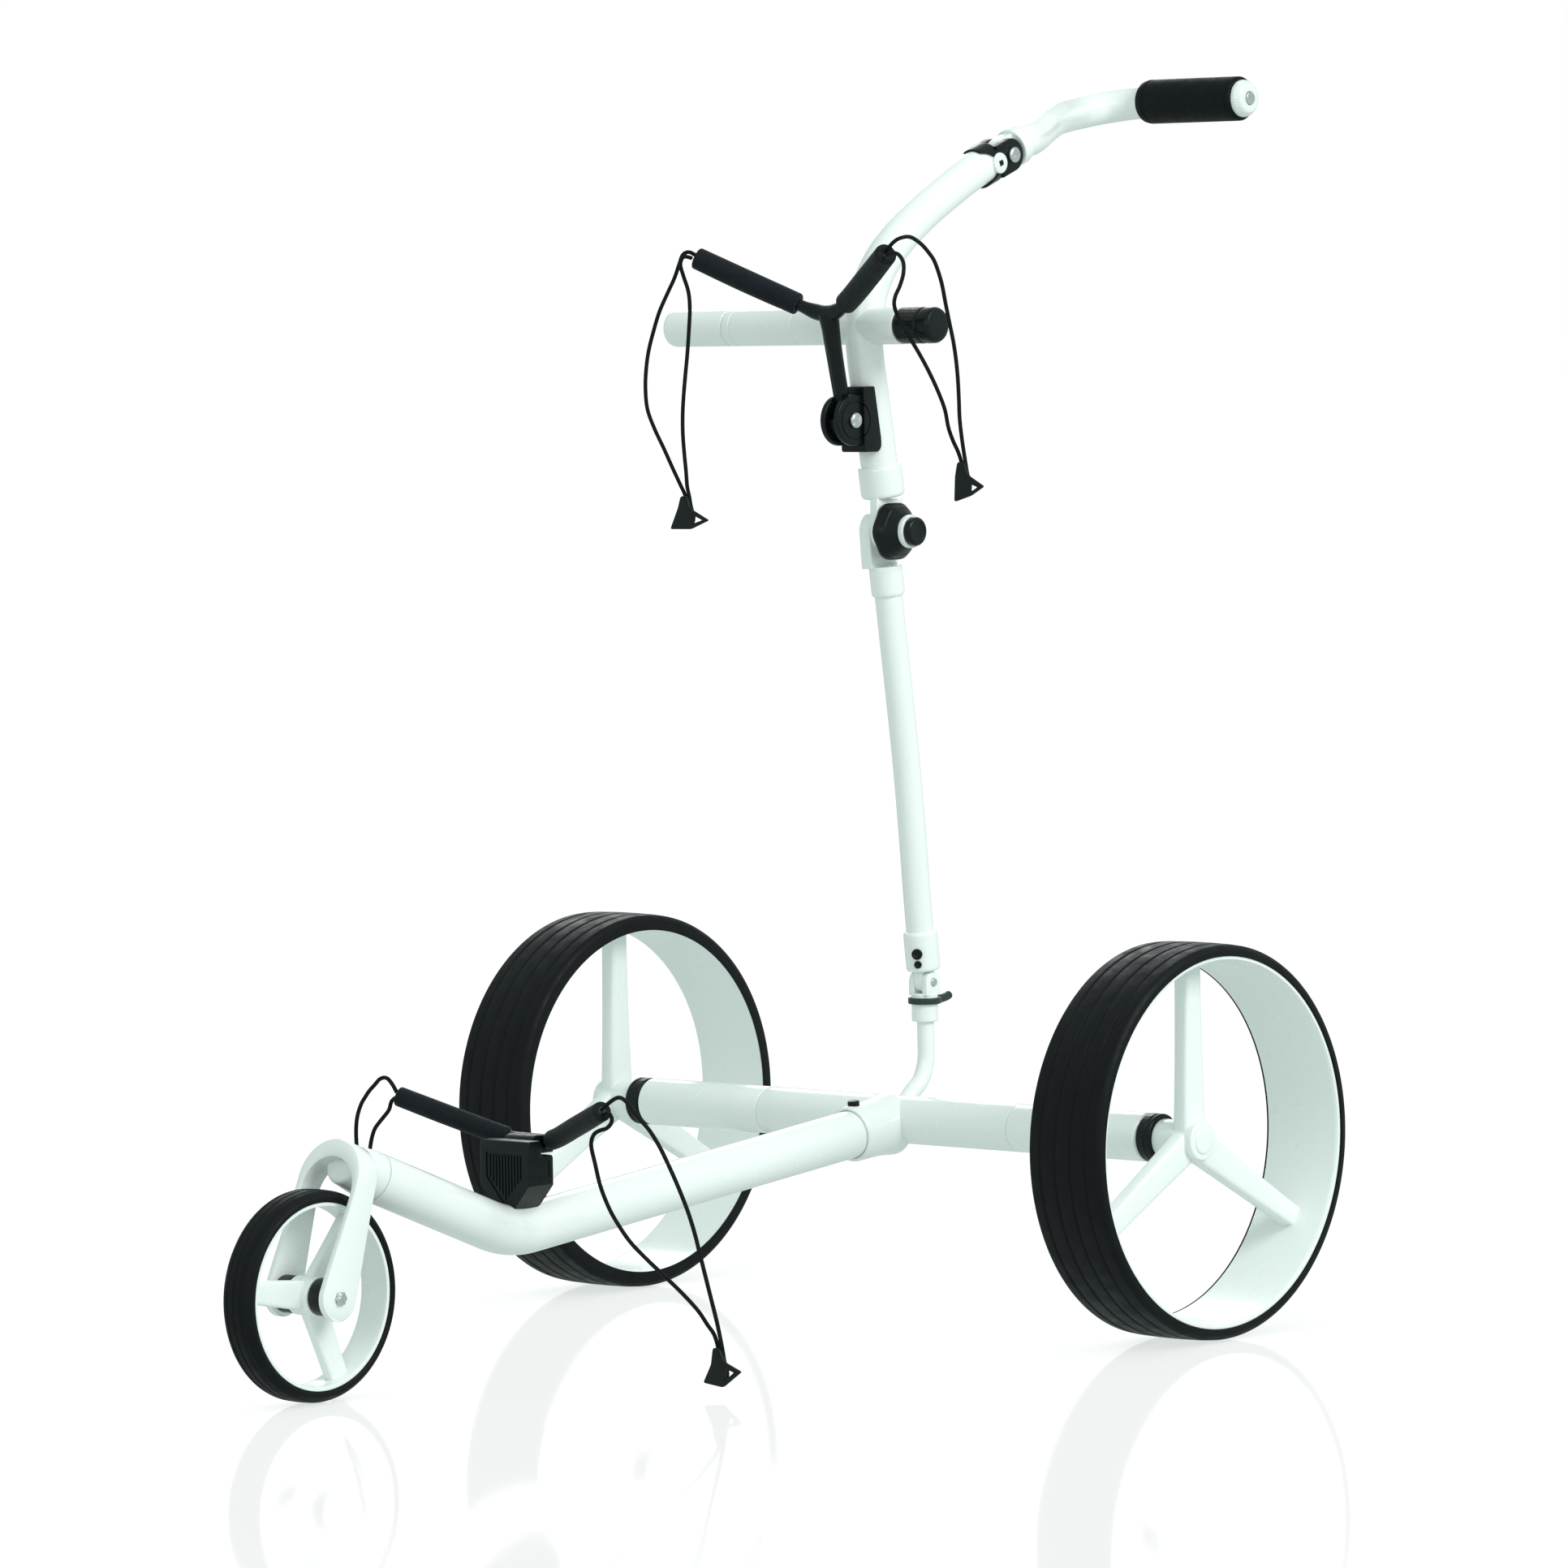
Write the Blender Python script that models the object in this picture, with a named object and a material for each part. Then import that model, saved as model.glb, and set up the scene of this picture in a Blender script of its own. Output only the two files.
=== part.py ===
"""Electric golf trolley: two driven rear wheels, one front wheel and a folding drawbar.

The model is built in millimetres about the middle of the rear axle at ground level
(x to the trolley's left, y to the rear, z up) and placed in metres, with the origin
under the middle of the whole trolley. Every moving group hangs on an empty that sits
on its joint's axis.
"""
import math

import bmesh
import bpy
from mathutils import Matrix, Vector

MM = 0.001
GAP = 0.3                      # clearance between touching pieces

# Wheels
REAR_WHEEL_R = 145.0
REAR_TYRE_WIDTH = 68.5
REAR_RIM_R = 136.0
REAR_WHEEL_X = 287.0           # middle of each rear wheel
FRONT_WHEEL_R = 74.6
FRONT_TYRE_WIDTH = 31.0
FRONT_RIM_R = 66.0
WHEELBASE = 620.0
WHEEL_STEPS = 40               # sides of each wheel's round

# Axle and main tube
AXLE_Z = REAR_WHEEL_R
AXLE_TUBE_R = 18.0
AXLE_CENTRE_HALF = 125.0       # the middle tube ends here and the motor housings begin
AXLE_HALF = 249.5
MAIN_TUBE_R = 18.0
SOCKET_LENGTH = 52.0
MAIN_START = Vector((0, 0, 143.0))
MAIN_BEND = Vector((0, -420, 98.7))
MAIN_END = Vector((0, -556, 152.3))
MAIN_BEND_R = 90.0

# Front fork, leaning back from the front axle
FRONT_AXLE = Vector((0, -WHEELBASE, FRONT_WHEEL_R))
FORK_LEAN = math.radians(20.5)
FORK_END_R = 16.5              # round end of each blade about the axle
FORK_CROWN_HALF = 9.5          # half the blade's width at the crown
FORK_HALF = 29.8               # over the blades
BLADE = 5.3                    # blade thickness
FORK_HEIGHT = 111.5            # axle to the top of the crown
CROWN_THICKNESS = 13.0
FRONT_HUB_HALF = 10.5

# Drawbar
STUB_R = 6.5
HINGE = Vector((0, 37, 246))   # lower fold axis, along x
LOWER_TUBE_R = 10.5
FOLD = Vector((0, -2, 588))    # upper fold axis, along x
UPPER_TUBE_R = 14.0
CROSSBAR = Vector((0, -19.5, 742))
CROSSBAR_LEFT = -193.0
CROSSBAR_RIGHT = 39.0
TILT = Vector((0, -42, 672))   # tilt axis of the upper bag bracket, along x

# Handle
PIVOT = Vector((0, 139.5, 869.5))  # handle hinge axis, along x
PIVOT_RISE = math.radians(21)
HANDLE_TUBE_R = 13.0
GRIP = Vector((0, 374, 912.6))
GRIP_R = 17.3
GRIP_HALF = 48.0

# Bag brackets and straps
ARM_R = 4.5
LOWER_PAD_R = 7.5
UPPER_PAD_R = 8.6
LOWER_TIP = Vector((101.6, -427, 193))
UPPER_TIP = Vector((94.6, -100.5, 795))
STRAP_R = 1.5

# The whole trolley spans from the front tyre to the back of the grip
FRONT_REACH = WHEELBASE + FRONT_WHEEL_R
REAR_REACH = GRIP.y + GRIP_R
ORIGIN = Vector((0, (FRONT_REACH - REAR_REACH) / 2, 0))

X = Vector((1, 0, 0))
Y = Vector((0, 1, 0))
Z = Vector((0, 0, 1))


def clear_scene():
    for old in list(bpy.data.objects):
        bpy.data.objects.remove(old, do_unlink=True)


# Materials ------------------------------------------------------------------

def material(name, colour, roughness, metallic=0.0):
    made = bpy.data.materials.new(name)
    made.use_nodes = True
    shader = made.node_tree.nodes["Principled BSDF"]
    shader.inputs["Base Color"].default_value = (*colour, 1.0)
    shader.inputs["Roughness"].default_value = roughness
    shader.inputs["Metallic"].default_value = metallic
    made.diffuse_color = (*colour, 1.0)
    return made


def white_paint(name):
    return material(name, (0.86, 0.90, 0.88), 0.22)


def black_plastic(name):
    return material(name, (0.02, 0.02, 0.022), 0.5)


def black_rubber(name):
    return material(name, (0.018, 0.018, 0.019), 0.75)


def steel(name):
    return material(name, (0.62, 0.63, 0.64), 0.28, 1.0)


# Placing --------------------------------------------------------------------

def joint_empty(name, point, parent=None):
    """An empty on a joint axis, at a point of the trolley in millimetres."""
    empty = bpy.data.objects.new(name, None)
    empty.empty_display_size = 0.03
    bpy.context.scene.collection.objects.link(empty)
    here = Vector(point)
    start = Vector(parent["point"]) if parent else -ORIGIN
    empty["point"] = tuple(here)
    empty.parent = parent
    empty.location = (here - start) * MM
    return empty


def add(name, mesh, look, parent):
    """Place a mesh given in trolley millimetres under its joint's empty."""
    bmesh.ops.recalc_face_normals(mesh, faces=mesh.faces)
    shift = Matrix.Translation(-Vector(parent["point"]))
    mesh.transform(Matrix.Scale(MM, 4) @ shift)
    data = bpy.data.meshes.new(name)
    mesh.to_mesh(data)
    mesh.free()
    data.shade_smooth()
    data.set_sharp_from_angle(angle=math.radians(32))
    if look:
        data.materials.append(look(name))
    thing = bpy.data.objects.new(name, data)
    bpy.context.scene.collection.objects.link(thing)
    thing.parent = parent
    return thing


def guide(name, mesh, parent):
    """A hidden shape that only cuts or extends another one."""
    shape = add(name, mesh, None, parent)
    shape.hide_render = True
    shape.display_type = "WIRE"
    return shape


def combine(thing, operation, shape):
    step = thing.modifiers.new(shape.name, "BOOLEAN")
    step.operation = operation
    step.solver = "EXACT"
    step.object = shape


def cut(thing, mesh):
    count = len(thing.modifiers)
    combine(thing, "DIFFERENCE", guide(f"{thing.name}_cutter{count}", mesh, thing.parent))


def join(thing, mesh):
    count = len(thing.modifiers)
    combine(thing, "UNION", guide(f"{thing.name}_part{count}", mesh, thing.parent))


# Shapes ---------------------------------------------------------------------

def bridge(mesh, first, second):
    """Faces between two loops of vertices; a loop of one vertex is a pole."""
    count = max(len(first), len(second))
    for i in range(count):
        j = (i + 1) % count
        corners = [first[i % len(first)], second[i % len(second)],
                   second[j % len(second)], first[j % len(first)]]
        distinct = [v for k, v in enumerate(corners) if v not in corners[:k]]
        mesh.faces.new(distinct)


def turned(profile, centre, axis, steps=20, into=None, wave=None):
    """Turn (distance along the axis, radius) points about an axis.

    A profile that starts and ends on the axis makes a solid; any other profile is a
    closed outline and makes a ring. wave(angle) scales the radius, for lobed shapes.
    """
    mesh = into or bmesh.new()
    axis = Vector(axis).normalized()
    side = axis.orthogonal().normalized() if abs(axis.x) < 0.9 else Y.copy()
    side = (side - axis * side.dot(axis)).normalized()
    if abs(axis.x) < 0.9:
        side = (X - axis * axis.x).normalized()
    up = axis.cross(side)
    loops = []
    for along, radius in profile:
        base = Vector(centre) + axis * along
        if radius == 0:
            loops.append([mesh.verts.new(base)])
            continue
        loop = []
        for i in range(steps):
            angle = 2 * math.pi * i / steps
            reach = radius * (wave(angle) if wave else 1)
            loop.append(mesh.verts.new(base + (side * math.cos(angle) + up * math.sin(angle)) * reach))
        loops.append(loop)
    for first, second in zip(loops, loops[1:]):
        bridge(mesh, first, second)
    if profile[0][1] != 0:
        bridge(mesh, loops[-1], loops[0])
    return mesh


def rod(start, end, radius, steps=16, into=None, edge=0.0):
    """A solid cylinder between two points, its rims chamfered by edge."""
    start, end = Vector(start), Vector(end)
    length = (end - start).length
    profile = [(0, 0), (0, radius - edge), (length, radius - edge), (length, 0)]
    if edge:
        profile[2:2] = [(edge, radius), (length - edge, radius)]
    return turned(profile, start, end - start, steps, into)


def sleeve(start, end, outer, inner, steps=20, into=None):
    """A plain tube between two points."""
    start, end = Vector(start), Vector(end)
    length = (end - start).length
    return turned([(0, inner), (0, outer), (length, outer), (length, inner)],
                  start, end - start, steps, into)


def swept(path, radius, inner=0.0, steps=24, into=None, ends=None):
    """A tube along a path of points; ends lists radii that round off a solid's ends."""
    mesh = into or bmesh.new()
    count = len(path)
    tangents = []
    for i in range(count):
        before, after = path[max(i - 1, 0)], path[min(i + 1, count - 1)]
        tangents.append((after - before).normalized())
    side = X.cross(tangents[0])
    side = (side if side.length > 0.3 else Z.cross(tangents[0])).normalized()
    outer_loops, inner_loops = [], []
    for i, (point, tangent) in enumerate(zip(path, tangents)):
        side = (side - tangent * side.dot(tangent)).normalized()
        up = tangent.cross(side)
        size = radius * (ends[min(i, count - 1 - i)] if ends and min(i, count - 1 - i) < len(ends) else 1)
        for loops, reach in ((outer_loops, size), (inner_loops, inner)):
            if reach:
                loops.append([mesh.verts.new(point + (side * math.cos(a) + up * math.sin(a)) * reach)
                              for a in (2 * math.pi * k / steps for k in range(steps))])
    for loops in (outer_loops, inner_loops):
        for first, second in zip(loops, loops[1:]):
            bridge(mesh, first, second)
    if inner:
        bridge(mesh, outer_loops[0], inner_loops[0])
        bridge(mesh, outer_loops[-1], inner_loops[-1])
    else:
        mesh.faces.new(outer_loops[0])
        mesh.faces.new(outer_loops[-1])
    return mesh


def slab(outline, start, end, into=None):
    """Extrude an outline of (y, z) points along x, from start to end."""
    mesh = into or bmesh.new()
    near = [mesh.verts.new((start, y, z)) for y, z in outline]
    far = [mesh.verts.new((end, y, z)) for y, z in outline]
    mesh.faces.new(near)
    mesh.faces.new(far)
    bridge(mesh, near, far)
    return mesh


def tongue(centre, towards, radius, length, start, end, steps=10, into=None):
    """A round-ended plate about a centre on a joint axis, reaching out in one direction."""
    towards = Vector(towards).normalized()
    side = X.cross(towards)
    outline = []
    for i in range(steps + 1):
        angle = math.pi * i / steps
        point = Vector(centre) + (side * math.cos(angle) - towards * math.sin(angle)) * radius
        outline.append((point.y, point.z))
    for sign in (-1, 1):
        point = Vector(centre) + side * radius * sign + towards * length
        outline.append((point.y, point.z))
    return slab(outline, start, end, into)


def smooth_path(points, spacing):
    """Points at an even spacing along a smooth curve through the given points."""
    knots = [Vector(p) for p in points]
    knots = [knots[0] * 2 - knots[1]] + knots + [knots[-1] * 2 - knots[-2]]
    dense = []
    for a, b, c, d in zip(knots, knots[1:], knots[2:], knots[3:]):
        for i in range(24):
            t = i / 24
            dense.append(0.5 * (2 * b + (c - a) * t + (2 * a - 5 * b + 4 * c - d) * t ** 2
                                + (3 * b - a - 3 * c + d) * t ** 3))
    dense.append(knots[-2])
    total = sum((b - a).length for a, b in zip(dense, dense[1:]))
    count = max(2, round(total / spacing))
    result, walked, target = [dense[0]], 0.0, total / count
    for a, b in zip(dense, dense[1:]):
        step = (b - a).length
        while walked + step >= target - 1e-6 and len(result) < count:
            result.append(a.lerp(b, (target - walked) / step))
            target += total / count
        walked += step
    return result + [dense[-1]]


def bent_path(start, corner, end, radius, steps=5):
    """Two straight runs joined by an arc."""
    before, after = (corner - start).normalized(), (end - corner).normalized()
    half = before.angle(after) / 2
    run = radius * math.tan(half)
    first, last = corner - before * run, corner + after * run
    middle = corner + (after - before).normalized() * radius / math.cos(half)
    inward, outward = (first - middle).normalized(), (last - middle).normalized()
    arc = [middle + inward.slerp(outward, i / steps) * radius for i in range(steps + 1)]
    return [start] + arc + [end]


def pivot_screw(centre, half):
    """A screw along x through a joint half thick each way, with its head on the left."""
    head = half + GAP
    profile = [(-half - 0.5, 0), (-half - 0.5, 3), (head, 3), (head, 6), (head + 2, 6), (head + 3, 4.5),
               (head + 3, 0)]
    return turned(profile, centre, X, 16)


# Rear axle and drive --------------------------------------------------------

def build_axle(base):
    middle = Vector((0, 0, AXLE_Z))
    spigot = AXLE_CENTRE_HALF + 15
    add("axle_centre", turned([(-spigot, 13.5), (-spigot, 15.7), (-AXLE_CENTRE_HALF, 15.7),
                               (-AXLE_CENTRE_HALF, AXLE_TUBE_R), (AXLE_CENTRE_HALF, AXLE_TUBE_R),
                               (AXLE_CENTRE_HALF, 15.7), (spigot, 15.7), (spigot, 13.5)],
                              middle, X, 20), white_paint, base)
    housing = [(AXLE_CENTRE_HALF + GAP, 16), (AXLE_CENTRE_HALF + GAP, AXLE_TUBE_R),
               (AXLE_HALF - 2, AXLE_TUBE_R), (AXLE_HALF, AXLE_TUBE_R - 2),
               (AXLE_HALF, 9), (AXLE_HALF - 3, 9), (AXLE_HALF - 3, 16)]
    for side, hand in ((1, "left"), (-1, "right")):
        outward = X * side
        add(f"motor_housing_{hand}", turned(housing, middle, outward, 20), white_paint, base)
        motor = [(145, 0), (145, 14.4), (146, 15.4), (204, 15.4), (204, 14.6), (207, 14.6), (207, 15.7),
                 (244, 15.7), (244, 0)]
        add(f"geared_motor_{hand}", turned(motor, middle, outward, 16), steel, base)
    board = slab([(-10, AXLE_Z - 8), (-10, AXLE_Z + 8), (10, AXLE_Z + 8), (10, AXLE_Z - 8)], -45, 45)
    add("motor_controller", board, black_plastic, base)


def rear_wheel(hand, side, base):
    centre = Vector((side * REAR_WHEEL_X, 0, AXLE_Z))
    hub = joint_empty(f"wheel_axis_{hand}", centre, base)
    outward = X * side
    half = REAR_TYRE_WIDTH / 2
    inner = REAR_RIM_R + GAP
    tyre = [(-half, inner), (-half + 0.6, REAR_WHEEL_R - 4), (-half + 3.5, REAR_WHEEL_R - 1),
            (0, REAR_WHEEL_R), (half - 3.5, REAR_WHEEL_R - 1), (half - 0.6, REAR_WHEEL_R - 4), (half, inner)]
    add(f"rear_tyre_{hand}", turned(tyre, centre, outward, WHEEL_STEPS), black_rubber, hub)
    barrel_half = half - 1.5
    barrel = [(-barrel_half, REAR_RIM_R - 3), (-barrel_half, REAR_RIM_R),
              (barrel_half, REAR_RIM_R), (barrel_half, REAR_RIM_R - 3)]
    rim = add(f"rear_rim_{hand}", turned(barrel, centre, outward, WHEEL_STEPS), white_paint, hub)
    for spoke in range(3):
        join(rim, spoke_mesh(centre, 90 + 120 * spoke, REAR_RIM_R - 1.5, 12.5, 8, 7.5))
    hub_in, hub_out = -24.4, 13.0
    join(rim, rod(centre + outward * hub_in, centre + outward * hub_out, 14.5, 20))
    cut(rim, rod(centre + outward * (hub_in - 5), centre + outward * (hub_out - 2.5), 5.3, 20))
    face = AXLE_HALF + GAP - REAR_WHEEL_X
    coupling = [(-42.5, 0), (-42.5, 5), (face, 5), (face, 17), (face + 1, 18), (hub_in - 1 - GAP, 18),
                (hub_in - GAP, 17), (hub_in - GAP, 5), (hub_out - 3, 5), (hub_out - 3, 0)]
    add(f"wheel_coupling_{hand}", turned(coupling, centre, outward, 20), black_plastic, hub)


def spoke_mesh(centre, degrees, reach, root_half, tip_half, depth_half):
    """A flat tapered spoke in the wheel's middle plane, from inside the hub to the rim."""
    angle = math.radians(degrees)
    out = Vector((0, math.cos(angle), math.sin(angle)))
    across = Vector((0, -math.sin(angle), math.cos(angle)))
    corners = [centre - across * root_half, centre + out * reach - across * tip_half,
               centre + out * reach + across * tip_half, centre + across * root_half]
    return slab([(c.y, c.z) for c in corners], centre.x - depth_half, centre.x + depth_half)


# Frame ----------------------------------------------------------------------

def main_path():
    """The main tube's centre line, with its end inside the socket."""
    along = (MAIN_BEND - MAIN_START).normalized()
    return bent_path(MAIN_START + along * 24, MAIN_BEND, MAIN_END, MAIN_BEND_R)


def build_frame(base):
    along = (MAIN_BEND - MAIN_START).normalized()
    axle = Vector((0, 0, AXLE_Z))
    axle_cut = lambda extra: rod(axle - X * 90, axle + X * 90, AXLE_TUBE_R + extra, 36)
    inner = MAIN_TUBE_R + GAP
    profile = [(2, inner), (2, 25), (24, 21.5), (SOCKET_LENGTH - 2, 21), (SOCKET_LENGTH, 20),
               (SOCKET_LENGTH, inner)]
    socket = add("frame_socket", turned(profile, MAIN_START, along, 20), white_paint, base)
    cut(socket, axle_cut(GAP))
    tube = add("main_tube", swept(main_path(), MAIN_TUBE_R, 16, 20), white_paint, base)
    upward = X.cross(along) if X.cross(along).z > 0 else along.cross(X)
    foot = MAIN_START + along * 44
    for wall in (socket, tube):
        cut(wall, rod(foot + upward * 8, foot + upward * 30, 4.8, 16))
    button = joint_empty("button_axis", foot + upward * 20, base)
    add("socket_button", rod(foot + upward * 11, foot + upward * 24.5, 4.5, 16, None, 0.8),
        black_plastic, button)
    build_fork(base)
    build_lower_bracket(base)
    build_stub(base)


def build_fork(base):
    lean = Vector((0, math.sin(FORK_LEAN), math.cos(FORK_LEAN)))
    ahead = Vector((0, -math.cos(FORK_LEAN), math.sin(FORK_LEAN)))
    inner_r = FORK_HALF - BLADE
    outer_arch = FORK_HEIGHT - FORK_HALF
    inner_arch = FORK_HEIGHT - CROWN_THICKNESS - inner_r
    blade = []                           # inner and outer (x, height), half the blade's width
    for i in range(1, 7):
        angle = math.radians(15 * i)
        height = -FORK_END_R * math.cos(angle)
        blade.append(((inner_r, height), (FORK_HALF, height), FORK_END_R * math.sin(angle)))
    blade.append(((inner_r, inner_arch - 1), (FORK_HALF, outer_arch - 1), FORK_CROWN_HALF))
    arch = []
    for i in range(13):
        angle = math.pi * i / 12
        cos, sin = math.cos(angle), math.sin(angle)
        arch.append(((inner_r * cos, inner_arch + inner_r * sin),
                     (FORK_HALF * cos, outer_arch + FORK_HALF * sin), FORK_CROWN_HALF))
    mirrored = [((-a[0], a[1]), (-b[0], b[1]), h) for a, b, h in reversed(blade)]
    mesh, loops = bmesh.new(), []
    for a, b, h in blade + arch + mirrored:
        corners = [(a, -h), (b, -h), (b, h), (a, h)]
        loops.append([mesh.verts.new(FRONT_AXLE + X * p[0] + lean * p[1] + ahead * d) for p, d in corners])
    for first, second in zip(loops, loops[1:]):
        bridge(mesh, first, second)
    mesh.faces.new(loops[0])
    mesh.faces.new(loops[-1])
    fork = add("front_fork", mesh, white_paint, base)
    into = (MAIN_END - MAIN_BEND).normalized()
    crown = MAIN_END + into * 33
    neck = turned([(GAP, 0), (GAP, MAIN_TUBE_R), (10, MAIN_TUBE_R - 0.5), ((crown - MAIN_END).length, 14.5),
                   ((crown - MAIN_END).length, 0)], MAIN_END, crown - MAIN_END, 20)
    join(fork, neck)
    join(fork, rod(MAIN_END - into * 22, MAIN_END + into * 4, 15.7, 20))
    cut(fork, rod(FRONT_AXLE - X * 40, FRONT_AXLE + X * 40, 4.3, 20))
    seat = FORK_HALF + GAP
    head = seat + 3
    axle = [(-head, 0), (-head, 4), (1 - head, 5), (-seat, 5), (-seat, 4),
            (seat, 4), (seat, 5), (head - 1, 5), (head, 4), (head, 0)]
    add("front_axle", turned(axle, FRONT_AXLE, X, 16), steel, base)
    for side, hand in ((1, "left"), (-1, "right")):
        near, far = FRONT_AXLE + X * side * (FRONT_HUB_HALF + 0.4), FRONT_AXLE + X * side * (inner_r - GAP)
        add(f"front_spacer_{hand}", sleeve(near, far, 13.3, 4.3), black_plastic, base)


def front_wheel(base):
    spin = joint_empty("front_wheel_axis", FRONT_AXLE, base)
    half, inner = FRONT_TYRE_WIDTH / 2, FRONT_RIM_R + GAP
    top = FRONT_WHEEL_R
    tyre = [(-half + 1.5, inner), (-half, top - 5), (-half + 5, top - 1), (0, top), (half - 5, top - 1),
            (half, top - 5), (half - 1.5, inner)]
    add("front_tyre", turned(tyre, FRONT_AXLE, X, WHEEL_STEPS), black_rubber, spin)
    barrel = sleeve(FRONT_AXLE - X * 13, FRONT_AXLE + X * 13, FRONT_RIM_R, FRONT_RIM_R - 3, WHEEL_STEPS)
    rim = add("front_rim", barrel, white_paint, spin)
    for spoke in range(3):
        join(rim, spoke_mesh(FRONT_AXLE, 52 + 120 * spoke, FRONT_RIM_R - 1.5, 11, 8, 5))
    hub = X * FRONT_HUB_HALF
    join(rim, rod(FRONT_AXLE - hub, FRONT_AXLE + hub, 14, 20))
    cut(rim, rod(FRONT_AXLE - X * 20, FRONT_AXLE + X * 20, 7.3, 16))
    add("front_bush", sleeve(FRONT_AXLE - hub, FRONT_AXLE + hub, 7, 4.3, 16), steel, spin)


# Lower bag bracket -------------------------------------------------------------

def mirrored_arm_path(tip, middle, spacing):
    """From the right tip through the middle points to the left tip."""
    right = [Vector((-p[0], p[1], p[2])) for p in [tip] + middle]
    left = [Vector(p) for p in reversed([tip] + middle)]
    if middle and abs(middle[-1][0]) < 1e-6:
        left = left[1:]
    return smooth_path(right + left, spacing)


def arm_pads(name, path, radius, parent):
    """A foam sleeve over the outer part of each arm."""
    cover = len(path) // 2 - 1
    for hand, stretch in (("right", path[:cover]), ("left", path[-cover:])):
        sleeve_mesh = swept(stretch, radius, ARM_R + GAP, 12, None, (0.8,))
        add(f"{name}_{hand}", sleeve_mesh, black_rubber, parent)


def lower_arm_path():
    return mirrored_arm_path(LOWER_TIP, [(60, -411, 178), (25, -397, 166), (0, -391, 162)], 13)


def build_lower_bracket(base):
    outline = [(-423, 113.5), (-423, 166), (-409, 166), (-409, 155), (-398, 155), (-398, 117)]
    block = add("bracket_block", slab(outline, -20, 20), black_plastic, base)
    cut(block, swept(main_path(), MAIN_TUBE_R + GAP, 0, 20))
    path = lower_arm_path()
    arms = swept(path, ARM_R, 0, 12)
    yoke = add("lower_yoke", arms, black_plastic, base)
    join(yoke, slab([(-408.6, 155.4), (-408.6, 167), (-404, 169), (-386, 168), (-386, 155.4)], -14, 14))
    arm_pads("lower_pad", path, LOWER_PAD_R, base)


# Drawbar ---------------------------------------------------------------------

def build_stub(base):
    path = smooth_path([(0, 8, 152), (0, 20, 163), (0, 31, 172), (0, 37, 186), (0, 37.5, 205),
                        (0, 37.2, 226)], 12)
    stub = add("drawbar_stub", swept(path, STUB_R, 0, 16), white_paint, base)
    axle = Vector((0, 0, AXLE_Z))
    cut(stub, rod(axle - X * 40, axle + X * 40, AXLE_TUBE_R + GAP, 36))
    post = Vector((0, HINGE.y, 0))
    join(stub, rod(post + Z * 216, post + Z * 237.4, 10, 20))
    for side in (-1, 1):
        join(stub, tongue(HINGE, -Z, 8, 10, side * 4.3, side * 9))
    cut(stub, rod(HINGE - X * 20, HINGE + X * 20, 3.3, 16))
    pin = rod(HINGE - X * 10.5, HINGE + X * 10.5, 3, 16, None, 0.5)
    add("hinge_pin", pin, steel, base)
    turn = joint_empty("lever_axis", post + Z * 231, base)
    lever = add("lock_lever", sleeve(post + Z * 228.6, post + Z * 235.4, 13, 10.3, 20), black_plastic, turn)
    tail = [Vector((0, y, z)) for y, z in ((49, 232), (56, 232), (62, 233), (66, 234.5))]
    join(lever, swept(tail, 3.2, 0, 14, None, (0.9,)))


def build_lower_shaft(base):
    fold = joint_empty("lower_fold_axis", HINGE, base)
    start, end = Vector((0, 36, 257)), Vector((0, 0.4, 559.5))
    path = smooth_path([start, (0, 30.8, 304), (0, 21, 407), (0, 7.2, 510), end], 50)
    add("lower_shaft_tube", swept(path, LOWER_TUBE_R, 9, 16), white_paint, fold)
    up = (path[1] - path[0]).normalized()
    profile = [(-2, 0), (-2, 12), (0, 13), (26, 13), (28, 12), (28, 10.8), (-GAP, 10.8), (-GAP, 0)]
    knuckle = add("hinge_knuckle", turned(profile, start, up, 20), white_paint, fold)
    join(knuckle, tongue(HINGE, Z, 7.7, 11, -4, 4))
    cut(knuckle, rod(HINGE - X * 8, HINGE + X * 8, 3.3, 16))
    facing = Vector((0.42, -0.91, 0)).normalized()
    seats = [start + up * height for height in (3.2, 10.8)]
    rods = [rod(seat + facing * (13.1 + GAP), seat + facing * 15.3, 4.6, 14, None, 0.6) for seat in seats]
    join(add("knuckle_plate", rods[0], black_plastic, fold), rods[1])
    down = (path[-2] - path[-1]).normalized()
    profile = [(-3, 0), (-3, 11.6), (-2, 12.6), (18, 12.6), (20, 11.8), (20, 10.8), (-GAP, 10.8), (-GAP, 0)]
    disc = add("fold_disc_lower", turned(profile, end, down, 20), white_paint, fold)
    join(disc, tongue(FOLD, end - FOLD, 15, 27, -11, -0.3, 14))
    cut(disc, rod(FOLD - X * 20, FOLD + X * 20, 4.3, 18))
    return fold


def upper_shaft_path():
    line = handle_line()
    foot = FOLD + Vector((0, 0.8, 28))
    end = PIVOT - line * 16
    return smooth_path([foot, (0, -12, 680), (0, -18.5, 719), (0, -19.5, 745), (0, -9, 775), (0, 13, 801),
                        (0, 45, 824), (0, 78, 842.5), PIVOT - line * 36, end], 24)


def handle_line():
    return Vector((0, math.cos(PIVOT_RISE), math.sin(PIVOT_RISE)))


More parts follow.
